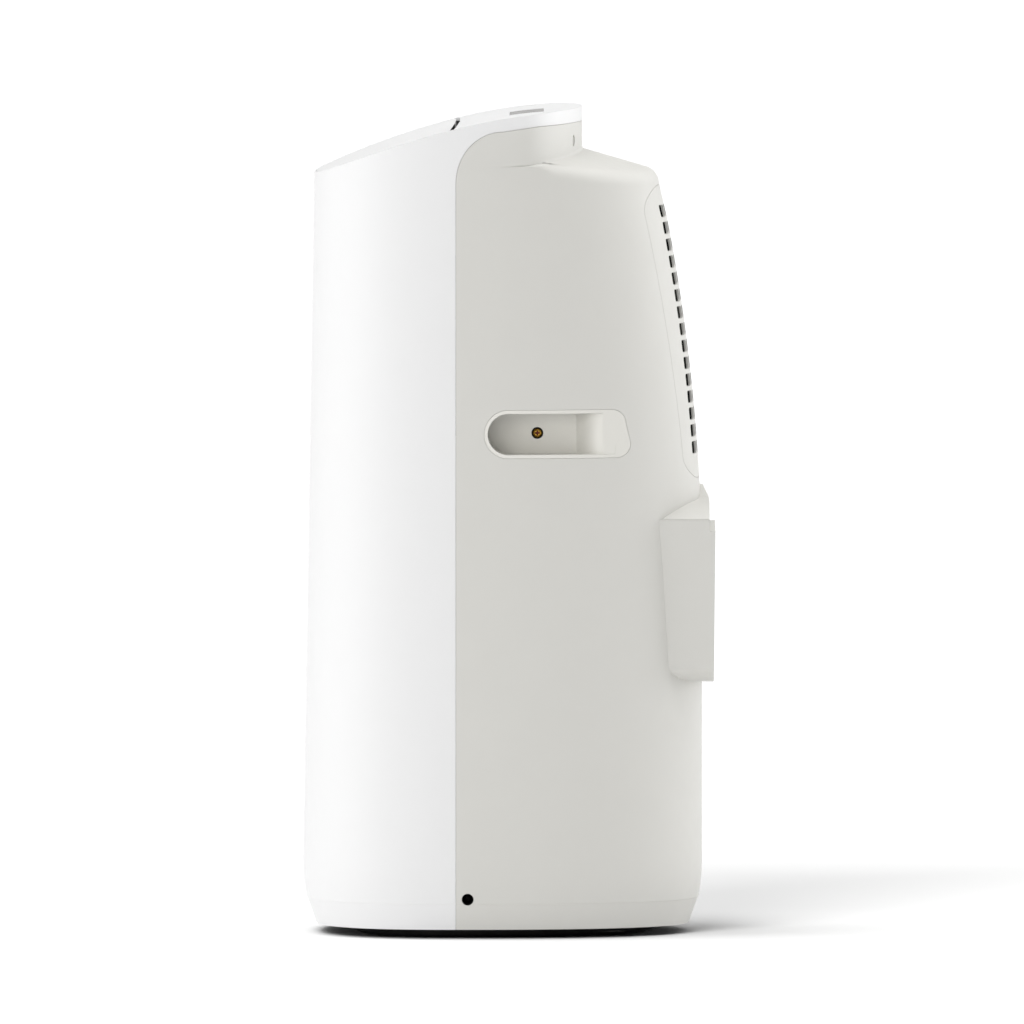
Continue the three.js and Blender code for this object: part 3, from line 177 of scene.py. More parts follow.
def top_z(x, y):
    back = max(0.0, CREST_Y - y) / TOP_SPAN
    return HEIGHT - TOP_DROP * back**TOP_POWER - TOP_CROWN * (x / HALF_WIDTH) ** 2


def shoulder_z(x, y):
    crown = SHOULDER_CROWN * abs(x / HALF_WIDTH) ** 2.2
    return SHOULDER_Z - SHOULDER_SLOPE * (max(y, SHOULDER_LEVEL_AHEAD) - NECK_REAR) - crown


def signed_power(value, power):
    return math.copysign(abs(value) ** power, value)


def body_point(angle, z, inset):
    """A point on the body's plan outline: a rounded square that is widest at the seam."""
    c, s = math.cos(angle), math.sin(angle)
    reach = rear_reach(z) if s > 0 else front_reach(z)
    x = (half_width(z) - inset) * signed_power(c, 2 / PLAN_POWER)
    return x, SEAM_Y + (reach - inset) * signed_power(s, 2 / PLAN_POWER)


def width_at(y, z, inset):
    """The body's half width behind the seam."""
    along = clamp01((y - SEAM_Y) / (rear_reach(z) - inset))
    return (half_width(z) - inset) * (1 - along**PLAN_POWER) ** (1 / PLAN_POWER)


def neck_share(y, inset):
    along = clamp01((y - NECK_TURN) / (NECK_REAR - NECK_TURN - inset))
    return (1 - along**NECK_POWER) ** (1 / NECK_POWER)


def neck_point(angle, z, inset):
    x, y = body_point(angle, z, inset)
    if math.sin(angle) <= 1e-9:
        return x, y
    y = SEAM_Y + (NECK_REAR - SEAM_Y - inset) * math.sin(angle) ** (2 / PLAN_POWER)
    side = 0 if abs(math.cos(angle)) < 1e-9 else math.copysign(1, math.cos(angle))
    return side * width_at(y, z, inset) * neck_share(y, inset), y


def turn_angles(count):
    return [math.tau * i / count for i in range(count)]


def ring(point, z, inset, count=AROUND):
    return [(*point(angle, z, inset), z) for angle in turn_angles(count)]


# ------------------------------------------------------------------ meshes
def new_object(name, vertices, faces):
    mesh = bpy.data.meshes.new(name)
    mesh.from_pydata([(x * MM, y * MM, z * MM) for x, y, z in vertices], [], faces)
    mesh.update()
    made = bpy.data.objects.new(name, mesh)
    scene.collection.objects.link(made)
    return made


def loft(name, rings):
    """A closed body through rings that run anticlockwise seen from the last ring's side."""
    count = len(rings[0])
    vertices = [p for r in rings for p in r]
    faces = []
    for level in range(len(rings) - 1):
        low, high = level * count, (level + 1) * count
        for i in range(count):
            j = (i + 1) % count
            faces.append((low + i, low + j, high + j, high + i))
    for level, turned_over in ((0, True), (len(rings) - 1, False)):
        centre = len(vertices)
        vertices.append(tuple(sum(p[k] for p in rings[level]) / count for k in range(3)))
        for i in range(count):
            a, b = level * count + i, level * count + (i + 1) % count
            faces.append((centre, b, a) if turned_over else (centre, a, b))
    return new_object(name, vertices, faces)


def prism(name, outline, low, high, place):
    """An outline of (u, v) points drawn from low to high along w, placed by place(u, v, w)."""
    count = len(outline)
    vertices = [place(u, v, w) for w in (low, high) for u, v in outline]
    faces = [(i, (i + 1) % count, count + (i + 1) % count, count + i) for i in range(count)]
    faces += [tuple(range(count))[::-1], tuple(range(count, 2 * count))]
    made = new_object(name, vertices, faces)
    face_out(made)
    return made


def along_x(u, v, w):
    return w, u, v


def along_y(u, v, w):
    return u, w, v


def along_z(u, v, w):
    return u, v, w


def face_out(made):
    """Turns a closed mesh's faces outwards."""
    work = bmesh.new()
    work.from_mesh(made.data)
    bmesh.ops.recalc_face_normals(work, faces=work.faces)
    work.to_mesh(made.data)
    work.free()


def arc(cx, cy, rx, ry, start, end, steps):
    points = []
    for i in range(steps + 1):
        angle = math.radians(start + (end - start) * i / steps)
        points.append((cx + rx * math.cos(angle), cy + ry * math.sin(angle)))
    return points


def circle(cx, cy, radius, count=ROUND):
    return [(cx + radius * math.cos(a), cy + radius * math.sin(a)) for a in turn_angles(count)]


def rounded_box(half_u, half_v, radius, steps=6):
    corners = [(1, -1, -90), (1, 1, 0), (-1, 1, 90), (-1, -1, 180)]
    points = []
    for su, sv, start in corners:
        centre = (su * (half_u - radius), sv * (half_v - radius))
        points += arc(*centre, radius, radius, start, start + 90, steps)
    return points


def box_solid(name, x, y, z):
    return prism(name, [(x[0], y[0]), (x[1], y[0]), (x[1], y[1]), (x[0], y[1])], *z, along_z)


def join(name, objects):
    """One mesh object out of several separate closed ones."""
    work = bmesh.new()
    for source in objects:
        work.from_mesh(source.data)
    mesh = bpy.data.meshes.new(name)
    work.to_mesh(mesh)
    work.free()
    drop(*objects)
    made = bpy.data.objects.new(name, mesh)
    scene.collection.objects.link(made)
    return made


def drop(*objects):
    for unused in objects:
        mesh = unused.data
        bpy.data.objects.remove(unused)
        if not mesh.users:
            bpy.data.meshes.remove(mesh)


def applied(made, keep_name=None):
    """The object with its modifiers applied."""
    depsgraph = bpy.context.evaluated_depsgraph_get()
    mesh = bpy.data.meshes.new_from_object(made.evaluated_get(depsgraph))
    old = made.data
    made.modifiers.clear()
    made.data = mesh
    mesh.name = keep_name or made.name
    if not old.users:
        bpy.data.meshes.remove(old)
    return made


def carve(made, *steps):
    """Cuts, keeps or adds solids: each step is (operation, solid)."""
    for operation, other in steps:
        modifier = made.modifiers.new("carve", "BOOLEAN")
        modifier.operation = operation
        modifier.solver = "MANIFOLD"
        modifier.object = other
    applied(made)
    drop(*{other for _, other in steps})
    return made


def copy_of(source, name):
    made = bpy.data.objects.new(name, source.data.copy())
    scene.collection.objects.link(made)
    return made


def mirrored(source, name):
    made = copy_of(source, name)
    made.data.transform(Matrix.Scale(-1, 4, (1, 0, 0)))
    made.data.flip_normals()
    return made


class Surface:
    """A smooth surface that cut pieces take their normals from."""

    def __init__(self, source):
        mesh = source.data
        mesh.calc_loop_triangles()
        self.normals = [v.vector.copy() for v in mesh.vertex_normals]
        self.points = [v.co.copy() for v in mesh.vertices]
        self.triangles = [tuple(t.vertices) for t in mesh.loop_triangles]
        self.tree = BVHTree.FromPolygons(self.points, self.triangles)

    def normal_at(self, point, reach=0.00006):
        place, _, index, _ = self.tree.find_nearest(point, reach)
        if index is None:
            return None
        a, b, c = self.triangles[index]
        pa, pb, pc = self.points[a], self.points[b], self.points[c]
        area = (pb - pa).cross(pc - pa).length
        if area == 0:
            return None
        wa = (pb - place).cross(pc - place).length / area
        wb = (pc - place).cross(pa - place).length / area
        wc = max(0.0, 1 - wa - wb)
        return (self.normals[a] * wa + self.normals[b] * wb + self.normals[c] * wc).normalized()


def smooth(made, *surfaces, angle=32, follow=0.87):
    """Smooth shading that stays sharp at real edges; faces on a known surface take its normals."""
    mesh = made.data
    for polygon in mesh.polygons:
        polygon.use_smooth = True
    mesh.set_sharp_from_angle(angle=math.radians(angle))
    if not surfaces:
        return made
    found = [[s.normal_at(v.co) for s in surfaces] for v in mesh.vertices]
    corners = [c.vector.copy() for c in mesh.corner_normals]
    for polygon in mesh.polygons:
        for loop in polygon.loop_indices:
            best, closest = None, follow
            for normal in found[mesh.loops[loop].vertex_index]:
                if normal is None:
                    continue
                match = normal.dot(polygon.normal)
                if abs(match) > closest:
                    best, closest = normal * math.copysign(1, match), abs(match)
            if best is not None:
                corners[loop] = best
    mesh.normals_split_custom_set(corners)
    return made


def lathe(name, profile, axis_place, count=ROUND):
    """A turned piece from (radius, along) points, both ends on the axis or closed on itself."""
    closed = profile[0] == profile[-1]
    points = profile[:-1] if closed else profile
    vertices, rows = [], []
    for radius, along in points:
        if radius == 0:
            rows.append([len(vertices)] * count)
            vertices.append(axis_place(0, 0, along))
        else:
            rows.append([len(vertices) + i for i in range(count)])
            for a in turn_angles(count):
                vertices.append(axis_place(radius * math.cos(a), radius * math.sin(a), along))
    pairs = list(zip(rows, rows[1:] + rows[:1])) if closed else list(zip(rows, rows[1:]))
    faces = []
    for low, high in pairs:
        for i in range(count):
            j = (i + 1) % count
            corner = []
            for v in (low[i], low[j], high[j], high[i]):
                if v not in corner:
                    corner.append(v)
            if len(corner) > 2:
                faces.append(tuple(corner))
    made = new_object(name, vertices, faces)
    face_out(made)
    return made


# ------------------------------------------------------------------ the forms of the shells
def spaced(stops, step):
    """Levels from the first stop to the last, no further apart than step, through every stop."""
    levels = [stops[0]]
    for low, high in zip(stops, stops[1:]):
        count = max(1, round((high - low) / step))
        levels += [low + (high - low) * i / count for i in range(1, count + 1)]
    return levels


SKIRT_LEVELS = [-5, SHELL_BOTTOM, SKIRT_EDGE - 0.7, SKIRT_EDGE - SKIRT_STEP, SKIRT_EDGE, SKIRT_EDGE + 0.4,
                36, 44, 52, SKIRT_TOP]


def front_form(name, inset, count=AROUND, step=40):
    levels = SKIRT_LEVELS + spaced([SKIRT_TOP, HEIGHT + 20], step)[1:]
    return loft(name, [ring(neck_point, z, inset, count) for z in levels])


def rear_form(name, inset, count=AROUND, step=16, steps=8):
    levels = SKIRT_LEVELS + spaced([SKIRT_TOP, BEND_START, 605], step)[1:]
    rings = [ring(body_point, z, inset, count) for z in levels]
    angles = turn_angles(count)

    def radius_at(angle):
        _, y = body_point(angle, SHOULDER_LEVEL, inset)
        beside = width_at(y, SHOULDER_LEVEL, inset) * (1 - neck_share(y, inset))
        return min(SHOULDER_RADIUS, 0.55 * max(0.0, beside, y - NECK_REAR))

    lift = 0.0
    for i in range(steps + 1):
        phi = math.pi / 2 * i / steps
        rounded = []
        for angle in angles:
            radius = radius_at(angle)
            x, y = body_point(angle, SHOULDER_LEVEL, inset + radius * (1 - math.cos(phi)))
            rounded.append((x, y, shoulder_z(x, y) - radius * (1 - math.sin(phi)) - inset + lift))
        rings.append(rounded)
        lift += 0.002
    edge = [(x, y) for x, y, _ in rings[-1]]
    foot = [neck_point(angle, SHOULDER_LEVEL, inset) for angle in angles]
    fillets = []
    for (ex, ey), (fx, fy) in zip(edge, foot):
        length = math.hypot(ex - fx, ey - fy)
        radius = min(NECK_FILLET, 0.85 * length)
        fillets.append((radius, (ex - fx) / max(length, 1e-6), (ey - fy) / max(length, 1e-6)))
    heel = [(fx + r * ux, fy + r * uy) for (fx, fy), (r, ux, uy) in zip(foot, fillets)]
    for i in range(1, steps + 1):
        share = i / steps
        across = [(a[0] + (b[0] - a[0]) * share, a[1] + (b[1] - a[1]) * share) for a, b in zip(edge, heel)]
        rings.append([(x, y, shoulder_z(x, y) - inset + lift) for x, y in across])
        lift += 0.002
    for i in range(1, steps + 1):
        phi = math.pi / 2 * i / steps
        hollowed = []
        for (fx, fy), (r, ux, uy) in zip(foot, fillets):
            x, y = fx + r * (1 - math.sin(phi)) * ux, fy + r * (1 - math.sin(phi)) * uy
            hollowed.append((x, y, shoulder_z(x, y) + r * (1 - math.cos(phi)) - inset + lift))
        rings.append(hollowed)
        lift += 0.002
    rings.append([(x, y, HEIGHT + 20) for x, y in foot])
    return loft(name, rings)


def below_top(name, depth, step=8, across=28):
    """Everything below the top surface lowered by some depth."""
    reach = 215
    rings = []
    for y in spaced([-230, 110], step):
        row = [-reach + 2 * reach * i / across for i in range(across + 1)]
        line = [(x, y, top_z(x, y) - depth) for x in row]
        rings.append(line + [(reach, y, -20), (-reach, y, -20)])
    made = loft(name, rings)
    face_out(made)
    return made


def seam_line(shift_y, shift_z):
    """The joint between the shells from the side: up at the seam, then back under the slab."""
    curve = arc(SEAM_Y + SLAB_ARC_REACH, SLAB_ARC_Z, SLAB_ARC_REACH, SLAB_ARC_RISE, 180, 90, 28)
    points = [(SEAM_Y, -50), *curve, (SLAB_TURN_Y, SLAB_REAR_Z - 2.3), (NECK_REAR + 30, SLAB_REAR_Z + 1.1)]
    return [(y + shift_y, z + shift_z) for y, z in points]


def front_side():
    line = seam_line(-JOINT / 2, JOINT / 2)
    return prism("front_side", line + [(NECK_REAR + 30, 800), (-300, 800), (-300, -50)], -220, 220, along_x)


def rear_side():
    line = seam_line(JOINT / 2, -JOINT / 2)
    return prism("rear_side", line + [(300, SLAB_REAR_Z), (300, -50)], -220, 220, along_x)


def bottom_cut():
    return box_solid("bottom_cut", (-220, 220), (-220, 220), (-60, SHELL_BOTTOM))


def flap_edge(x):
    return FLAP_REAR - FLAP_BOW * (x / HALF_WIDTH) ** 2


def flap_plan(slot, seam):
    """Seen from above: the flap's outline, with wide slots beside its middle."""
    outer = [-200 + 136 * i / 12 for i in range(13)]
    inner = [-FLAP_SLOT_FROM + FLAP_SLOT_FROM * i / 6 for i in range(7)]
    left = [(x, flap_edge(x) + slot) for x in outer]
    left += [(x, flap_edge(x) + seam) for x in inner if slot != seam or x > -FLAP_SLOT_FROM]
    right = [(-x, y) for x, y in left[:-1]][::-1]
    return prism("flap_plan", left + right + [(200, -260), (-200, -260)], 560, 760, along_z)


def grille_outline(inset):
    low, high = GRILLE["bottom"] + inset, GRILLE["top"] - inset
    x0, x1 = GRILLE["half_bottom"] - inset, GRILLE["half_top"] - inset
    (ax, az), (bx, bz) = GRILLE["corner_bottom"], GRILLE["corner_top"]
    right = arc(x0 - ax, low + az, ax, az, -90, 0, 20) + arc(x1 - bx, high - bz, bx, bz, 0, 90, 20)
    return right + [(-x, z) for x, z in right[::-1]]


def handle_outline(inset):
    radius = HANDLE["height"] / 2 - inset
    low, high = HANDLE["z"] - radius, HANDLE["z"] + radius
    rounding = max(0.4, HANDLE["corner"] - inset)
    back = HANDLE["rear"] - inset
    points = arc(back - rounding, low + rounding, rounding, rounding, -90, 0, 10)
    points += arc(back - HANDLE["slant"] - rounding, high - rounding, rounding, rounding, 0, 90, 10)
    points += arc(HANDLE["front"] + HANDLE["height"] / 2, HANDLE["z"], radius, radius, 90, 270, 28)
    return points


def neck_x(y):
    return width_at(y, NECK_CAP["z"], 0) * neck_share(y, 0)


def cap_frame():
    """Where a cap sits on the neck, and the direction that it faces."""
    y = NECK_CAP["y"]
    out = Vector((0.4, neck_x(y - 0.2) - neck_x(y + 0.2), 0)).normalized()
    return Vector((neck_x(y), y, NECK_CAP["z"])), out


# ------------------------------------------------------------------ finishes
def linear(value):
    return value / 12.92 if value <= 0.04045 else ((value + 0.055) / 1.055) ** 2.4


def tone(red, green, blue):
    """A colour from its 8-bit display values."""
    return tuple(linear(v / 255) for v in (red, green, blue))


def scaled(color, share):
    return (*[min(1.0, c * share) for c in color], 1.0)


class Nodes:
    """A material's node tree, built one node at a time."""

    def __init__(self, name):
        self.material = bpy.data.materials.new(name)
        self.material.use_nodes = True
        self.tree = self.material.node_tree
        self.shader = self.tree.nodes["Principled BSDF"]
        self.place = self.add("ShaderNodeTexCoord").outputs["Object"]

    def add(self, kind, inputs=None, **settings):
        node = self.tree.nodes.new(kind)
        for key, value in settings.items():
            setattr(node, key, value)
        for key, value in (inputs or {}).items():
            socket = node.inputs[key]
            if isinstance(value, bpy.types.NodeSocket):
                self.tree.links.new(value, socket)
            else:
                socket.default_value = value
        return node

    def noise(self, scale, detail=2.0, rough=0.5):
        node = self.add("ShaderNodeTexNoise", {"Vector": self.place, "Scale": scale, "Detail": detail})
        node.inputs["Roughness"].default_value = rough
        return node.outputs["Fac"]

    def math(self, operation, a, b=0.0, clamp=False):
        return self.add("ShaderNodeMath", {0: a, 1: b}, operation=operation, use_clamp=clamp).outputs[0]

    def ramp(self, value, low, high, to_low=0.0, to_high=1.0):
        inputs = {"Value": value, "From Min": low, "From Max": high, "To Min": to_low, "To Max": to_high}
        return self.add("ShaderNodeMapRange", inputs).outputs["Result"]

    def mix(self, share, a, b):
        node = self.add("ShaderNodeMix", data_type="RGBA")
        for socket, value in zip((node.inputs[0], node.inputs[6], node.inputs[7]), (share, a, b)):
            if isinstance(value, bpy.types.NodeSocket):
                self.tree.links.new(value, socket)
            else:
                socket.default_value = value
        return node.outputs[2]

    def stripes(self, axis, pitch):
        """Rises and falls between 0 and 1 along one axis, once each pitch in millimetres."""
        split = self.add("ShaderNodeSeparateXYZ", {"Vector": self.place})
        turn = self.math("MULTIPLY", split.outputs[axis], math.tau / (pitch * MM))
        return self.math("MULTIPLY_ADD", self.math("SINE", turn), 0.5)

    def join(self, socket, value):
        self.tree.links.new(value, self.shader.inputs[socket])

    def set(self, **values):
        for name, value in values.items():
            self.shader.inputs[name.replace("_", " ")].default_value = value


def look(name, color, roughness, metallic=0.0, vary=0.02, patch=30.0, grain=0.5, depth=0.02, wear=0.3,
         edge=0.35, rough_vary=0.05, pattern=None, second=None, dust=0.0):
    """A moulded or metal surface: drifting colour, fine grain, soft edges that wear paler."""
    n = Nodes(name)
    drift = n.noise(patch, 3.0)
    base = n.mix(drift, scaled(color, 1 - vary), scaled(color, 1 + vary))
    speck = n.noise(1000 / grain * 0.5, 2.0, 0.6)
    if pattern:
        height = pattern(n)
        base = n.mix(height, scaled(second or scaled(color, 0.6)[:3], 1), base)
    else:
        height = speck
    if dust:
        settled = n.ramp(n.noise(9.0, 5.0, 0.65), 0.52, 0.75, 0.0, dust)
        base = n.mix(settled, base, scaled(tone(168, 164, 156), 1))
    soft = n.add("ShaderNodeBevel", {"Radius": edge * MM}, samples=4)
    flat = n.add("ShaderNodeNewGeometry").outputs["Normal"]
    turned = n.add("ShaderNodeVectorMath", {0: soft.outputs[0], 1: flat}, operation="DOT_PRODUCT")
    bent = turned.outputs["Value"]
    worn = n.ramp(bent, 0.98, 0.8, 0.0, wear)
    patchy = n.math("MULTIPLY", worn, n.ramp(n.noise(220.0, 3.0), 0.35, 0.65, 0.25, 1.0), clamp=True)
    n.join("Base Color", n.mix(patchy, base, scaled(color, 1.12)))
    sheen = n.ramp(n.noise(90.0, 4.0, 0.6), 0.3, 0.7, roughness - rough_vary, roughness + rough_vary)
    n.join("Roughness", sheen)
    bump = n.add("ShaderNodeBump", {"Strength": 0.35, "Distance": depth * MM, "Height": height})
    n.tree.links.new(soft.outputs[0], bump.inputs["Normal"])
    n.join("Normal", bump.outputs[0])
    n.set(Metallic=metallic)
    return n


def weave(n):
    """Crossed threads."""
    return n.math("MAXIMUM", n.ramp(n.stripes(0, 1.1), 0.55, 0.9), n.ramp(n.stripes(2, 1.1), 0.55, 0.9))


def fins(n):
    return n.ramp(n.stripes(0, 1.9), 0.25, 0.75)


def brushed(n):
    stretch = n.add("ShaderNodeMapping", {"Vector": n.place, "Scale": (30.0, 30.0, 1200.0)})
    node = n.add("ShaderNodeTexNoise", {"Vector": stretch.outputs[0], "Scale": 1.0, "Detail": 3.0})
    return node.outputs["Fac"]


WHITE_TONE = tone(228, 228, 228)
GREY_TONE = tone(207, 206, 201)
LOOKS = {
    "white_plastic": look("white_plastic", WHITE_TONE, 0.42, vary=0.008, wear=0.2, edge=0.5),
    "grey_plastic": look("grey_plastic", GREY_TONE, 0.48, vary=0.012, wear=0.25, edge=0.5),
    "display_plastic": look("display_plastic", tone(205, 204, 202), 0.16, vary=0.01, grain=0.2, depth=0.004),
    "button_plastic": look("button_plastic", tone(231, 231, 229), 0.38, vary=0.01, edge=0.6),
    "filter_mesh": look("filter_mesh", tone(24, 24, 25), 0.9, pattern=weave, second=tone(8, 8, 9),
                        depth=0.3, vary=0.1, dust=0.1),
    "dark_plastic": look("dark_plastic", tone(46, 47, 49), 0.5, vary=0.08, dust=0.06),
    "brass_screw": look("brass_screw", tone(222, 172, 74), 0.3, 1.0, vary=0.12, patch=700.0, edge=0.25),
    "steel": look("steel", tone(178, 181, 184), 0.34, 1.0, vary=0.06, pattern=brushed,
                  second=tone(150, 153, 157), depth=0.01),
    "cap_plastic": look("cap_plastic", tone(193, 192, 187), 0.5, vary=0.02, edge=0.6),
    "black_plastic": look("black_plastic", tone(26, 26, 26), 0.55, vary=0.12, grain=0.9, depth=0.05,
                          dust=0.05),
    "black_paint": look("black_paint", tone(24, 25, 27), 0.3, vary=0.1, wear=0.5),
    "copper": look("copper", tone(200, 126, 84), 0.28, 1.0, vary=0.18, patch=60.0),
    "aluminium": look("aluminium", tone(205, 208, 210), 0.4, 1.0, pattern=fins, second=tone(90, 92, 94),
                      depth=0.6),
    "control_box_plastic": look("control_box_plastic", tone(216, 216, 212), 0.5, vary=0.02),
    "rubber": look("rubber", tone(150, 149, 145), 0.75, vary=0.04, grain=0.7),
    "rubber_black": look("rubber_black", tone(22, 22, 22), 0.8, vary=0.1, grain=0.7),
    "wheel_plastic": look("wheel_plastic", tone(44, 44, 46), 0.6, vary=0.1, dust=0.12),
}
LOOKS["filter_mesh"].set(Specular_IOR_Level=0.0)
# Dark red-brown for the screws' cross recess: painted shade of the brass in the hollow.
RECESS_SHADE = look("screw_recess_painted_shade", tone(110, 30, 15), 0.7, vary=0.2, patch=900.0).material
# Near-black brown for the inside of the handle screw wells: painted shade in the holes.
WELL_SHADE = look("screw_well_painted_shade", tone(24, 21, 19), 0.8, vary=0.15).material
# Near-black finish for the slot walls beside the flap: painted shade deep in the slots.
SLIT_SHADE = look("louver_slit_painted_shade", tone(6, 6, 7), 0.9, vary=0.1).material
# Near-black metal for the base screws: painted shade of the deep holes they sit in.
SHADED_SCREW = look("base_screw_painted_shade", tone(34, 33, 33), 0.55, 1.0, vary=0.1, patch=700.0)
FINNED = look("condenser_fins", tone(198, 184, 172), 0.42, 1.0, pattern=fins, second=tone(84, 74, 68),
              depth=0.6)

node_slot = {part["node"]: part["material_slot"] for part in frame["record"]["subparts"]}
node_body = {node: name for name, nodes in frame["record"]["behaviour"]["bodies"].items() for node in nodes}


def dress(made, material):
    made.data.materials.clear()
    made.data.materials.append(material)


def finished(made, *nodes, slot=None, extra=None):
    """A piece takes the finish and the body of the nodes that it stands for."""
    name = slot or node_slot[nodes[0]]
    dress(made, LOOKS[name].material)
    if extra:
        made.data.materials.append(extra)
    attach(made, node_body[nodes[0]])
    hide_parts(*nodes)
    return made


for node, made in frame["nodes"].items():
    chosen = FINNED if node == "condenser_coil" else LOOKS[node_slot[node]]
    for holder in made.material_slots:
        holder.material = chosen.material

# ------------------------------------------------------------------ front shell and flap
front_outer = front_form("front_outer", 0)
front_inner = front_form("front_inner", WALL)
front_skin, front_lining = Surface(front_outer), Surface(front_inner)
top_skin_source = below_top("top_skin", 0)
top_skin = Surface(top_skin_source)


def below(depth):
    return below_top("below", depth)


def display_block(extra, low=640, high=760):
    across, along = DISPLAY["width"] / 2 + extra, DISPLAY["depth"] / 2 + extra
    outline = rounded_box(across, along, 2.5 + max(0.0, extra))
    return prism("display", [(DISPLAY["x"] + u, DISPLAY["y"] + v) for u, v in outline], low, high, along_z)


def button_bar(index, radius):
    x = BUTTON_FIRST_X + index * BUTTON_PITCH
    return prism("button", circle(x, DISPLAY["y"], radius), 640, 760, along_z)


flap_opening = carve(front_form("flap_opening", FLAP_RIM - GAP),
                     ("INTERSECT", flap_plan(FLAP_SLOT, FLAP_SEAM)),
                     ("DIFFERENCE", below(FLAP_THICKNESS + GAP)))
hollow = carve(front_inner, ("INTERSECT", below(WALL)))
support = carve(display_block(5), ("INTERSECT", below(WALL - 0.5)), ("DIFFERENCE", below(7)))
seat = carve(display_block(GAP), ("DIFFERENCE", below(DISPLAY["thickness"] + GAP)))
# The flap's rear edge swings under the casing's edge, which is hollowed for it.
swept = prism("swept", circle(FLAP_PIVOT["y"], FLAP_PIVOT["z"], FLAP_PIVOT["swept"]),
              -FLAP_SLOT_FROM, FLAP_SLOT_FROM, along_x)
casing_front = carve(front_outer, ("INTERSECT", top_skin_source), ("INTERSECT", front_side()),
                     ("DIFFERENCE", hollow), ("DIFFERENCE", bottom_cut()), ("DIFFERENCE", flap_opening),
                     ("DIFFERENCE", swept), ("UNION", support), ("DIFFERENCE", seat),
                     ("DIFFERENCE", display_block(-4)),
                     *[("DIFFERENCE", button_bar(i, BUTTON_RADIUS + GAP)) for i in range(len(BUTTONS))])
casing_front.name = "casing_front"
finished(smooth(casing_front, front_skin, front_lining, top_skin), "front_shell", extra=SLIT_SHADE)

flap_source = front_form("flap", FLAP_RIM)
flap_skin = Surface(flap_source)
flap = carve(flap_source, ("INTERSECT", flap_plan(0, 0)), ("INTERSECT", below(0)),
             ("DIFFERENCE", below(FLAP_THICKNESS)))
flap.name = "louver_panel"
finished(smooth(flap, flap_skin, top_skin), "louver_flap", extra=SLIT_SHADE)
# The near slot walls beside the flap take the near-black finish: painted shade in the slots.
for made in (casing_front, flap):
    for polygon in made.data.polygons:
        x, y, z = polygon.center / MM
        behind, deep = y - flap_edge(x), top_z(x, y) - z
        wall = abs(polygon.normal.y) > 0.7 or deep > FLAP_THICKNESS - 0.5 and polygon.normal.z > 0.7
        in_slot = -0.1 < behind < FLAP_SLOT + 0.1 and 0.1 < deep < FLAP_THICKNESS + 1
        if x > FLAP_SLOT_FROM and in_slot and wall:
            polygon.material_index = 1

display = carve(display_block(0), ("INTERSECT", below(0)), ("DIFFERENCE", below(DISPLAY["thickness"])))
display.name = "display_panel"
finished(smooth(display, top_skin), "display_window")


def dished_key(index):
    """A round key whose top follows the casing and is dished under the fingertip."""
    x = BUTTON_FIRST_X + index * BUTTON_PITCH
    level = top_z(x, DISPLAY["y"])
    rings = []
    for radius, down in ((BUTTON_RADIUS - 0.6, BUTTON_HEIGHT), (BUTTON_RADIUS, BUTTON_HEIGHT - 0.6),
                         (BUTTON_RADIUS, 0.7), (BUTTON_RADIUS - 0.2, 0.3), (BUTTON_RADIUS - 0.7, 0.05),
                         (6.4, 0.1), (5, 0.3), (3, 0.5), (1, 0.6)):
        rings.append([(x + radius * math.cos(a), DISPLAY["y"] + radius * math.sin(a),
                       top_z(x + radius * math.cos(a), DISPLAY["y"] + radius * math.sin(a)) - down)
                      for a in turn_angles(48)])
    made = loft("key_" + BUTTONS[index].split("_")[1], rings)
    return smooth(made, angle=40)


for index, node in enumerate(BUTTONS):
    finished(dished_key(index), node)

# ------------------------------------------------------------------ rear shell and its panels
rear_outer = rear_form("rear_outer", 0)
rear_inner = rear_form("rear_inner", WALL)
rear_skin, rear_lining = Surface(rear_outer), Surface(rear_inner)


def outer_body():
    return copy_of(rear_outer, "outer_body")


def inner_body():
    return copy_of(rear_inner, "inner_body")


def both_sides(make):
    right = make()
    return [("DIFFERENCE", right), ("DIFFERENCE", mirrored(right, "left"))]


seat_point, seat_out = cap_frame()


def cap_place(u, v, w):
    side = Vector((-seat_out.y, seat_out.x, 0))
    return tuple(seat_point + side * u + Vector((0, 0, 1)) * v + seat_out * w)


def duct_opening():
    return prism("duct_opening", circle(0, DUCT["z"], DUCT["opening"], 96), 60, 260, along_y)


casing_rear = carve(
    copy_of(rear_outer, "casing_rear"), ("INTERSECT", rear_side()), ("DIFFERENCE", inner_body()),
    ("DIFFERENCE", bottom_cut()),
    ("DIFFERENCE", prism("grille_hole", grille_outline(-2 * JOINT), 60, 260, along_y)),
    ("DIFFERENCE", duct_opening()),
    *[("DIFFERENCE", prism("drain", circle(0, z, DRAIN["cap"] + GAP), 100, 260, along_y))
      for z in DRAIN["levels"]],
    ("DIFFERENCE", prism("gland", circle(GLAND["x"], GLAND["z"], GLAND["radius"] + GAP), 110, 260, along_y)),
    *both_sides(lambda: prism("handle", handle_outline(-JOINT), 100, 220, along_x)),
    *both_sides(lambda: prism("foot", circle(BASE_SCREW["y"], BASE_SCREW["z"], SCREW["hole"], 40),
                              120, 220, along_x)),
    *both_sides(lambda: prism("cap", circle(0, 0, NECK_CAP["radius"] + GAP, 40), -12, 6, cap_place)))
finished(smooth(casing_rear, rear_skin, rear_lining), "rear_shell")


slots_top = GRILLE["top"] - SLOTS["margin"]
slot_pitch = (slots_top - GRILLE["bottom"] - SLOTS["margin"]) / SLOTS["rows"]
slot_height = SLOTS["open"] * slot_pitch


def slot_rows():
    """Each row's middle height and half length."""
    for row in range(SLOTS["rows"]):
        down = row / (SLOTS["rows"] - 1)
        half = SLOTS["half_top"] + (SLOTS["half_bottom"] - SLOTS["half_top"]) * down
        yield slots_top - row * slot_pitch - slot_height / 2, half


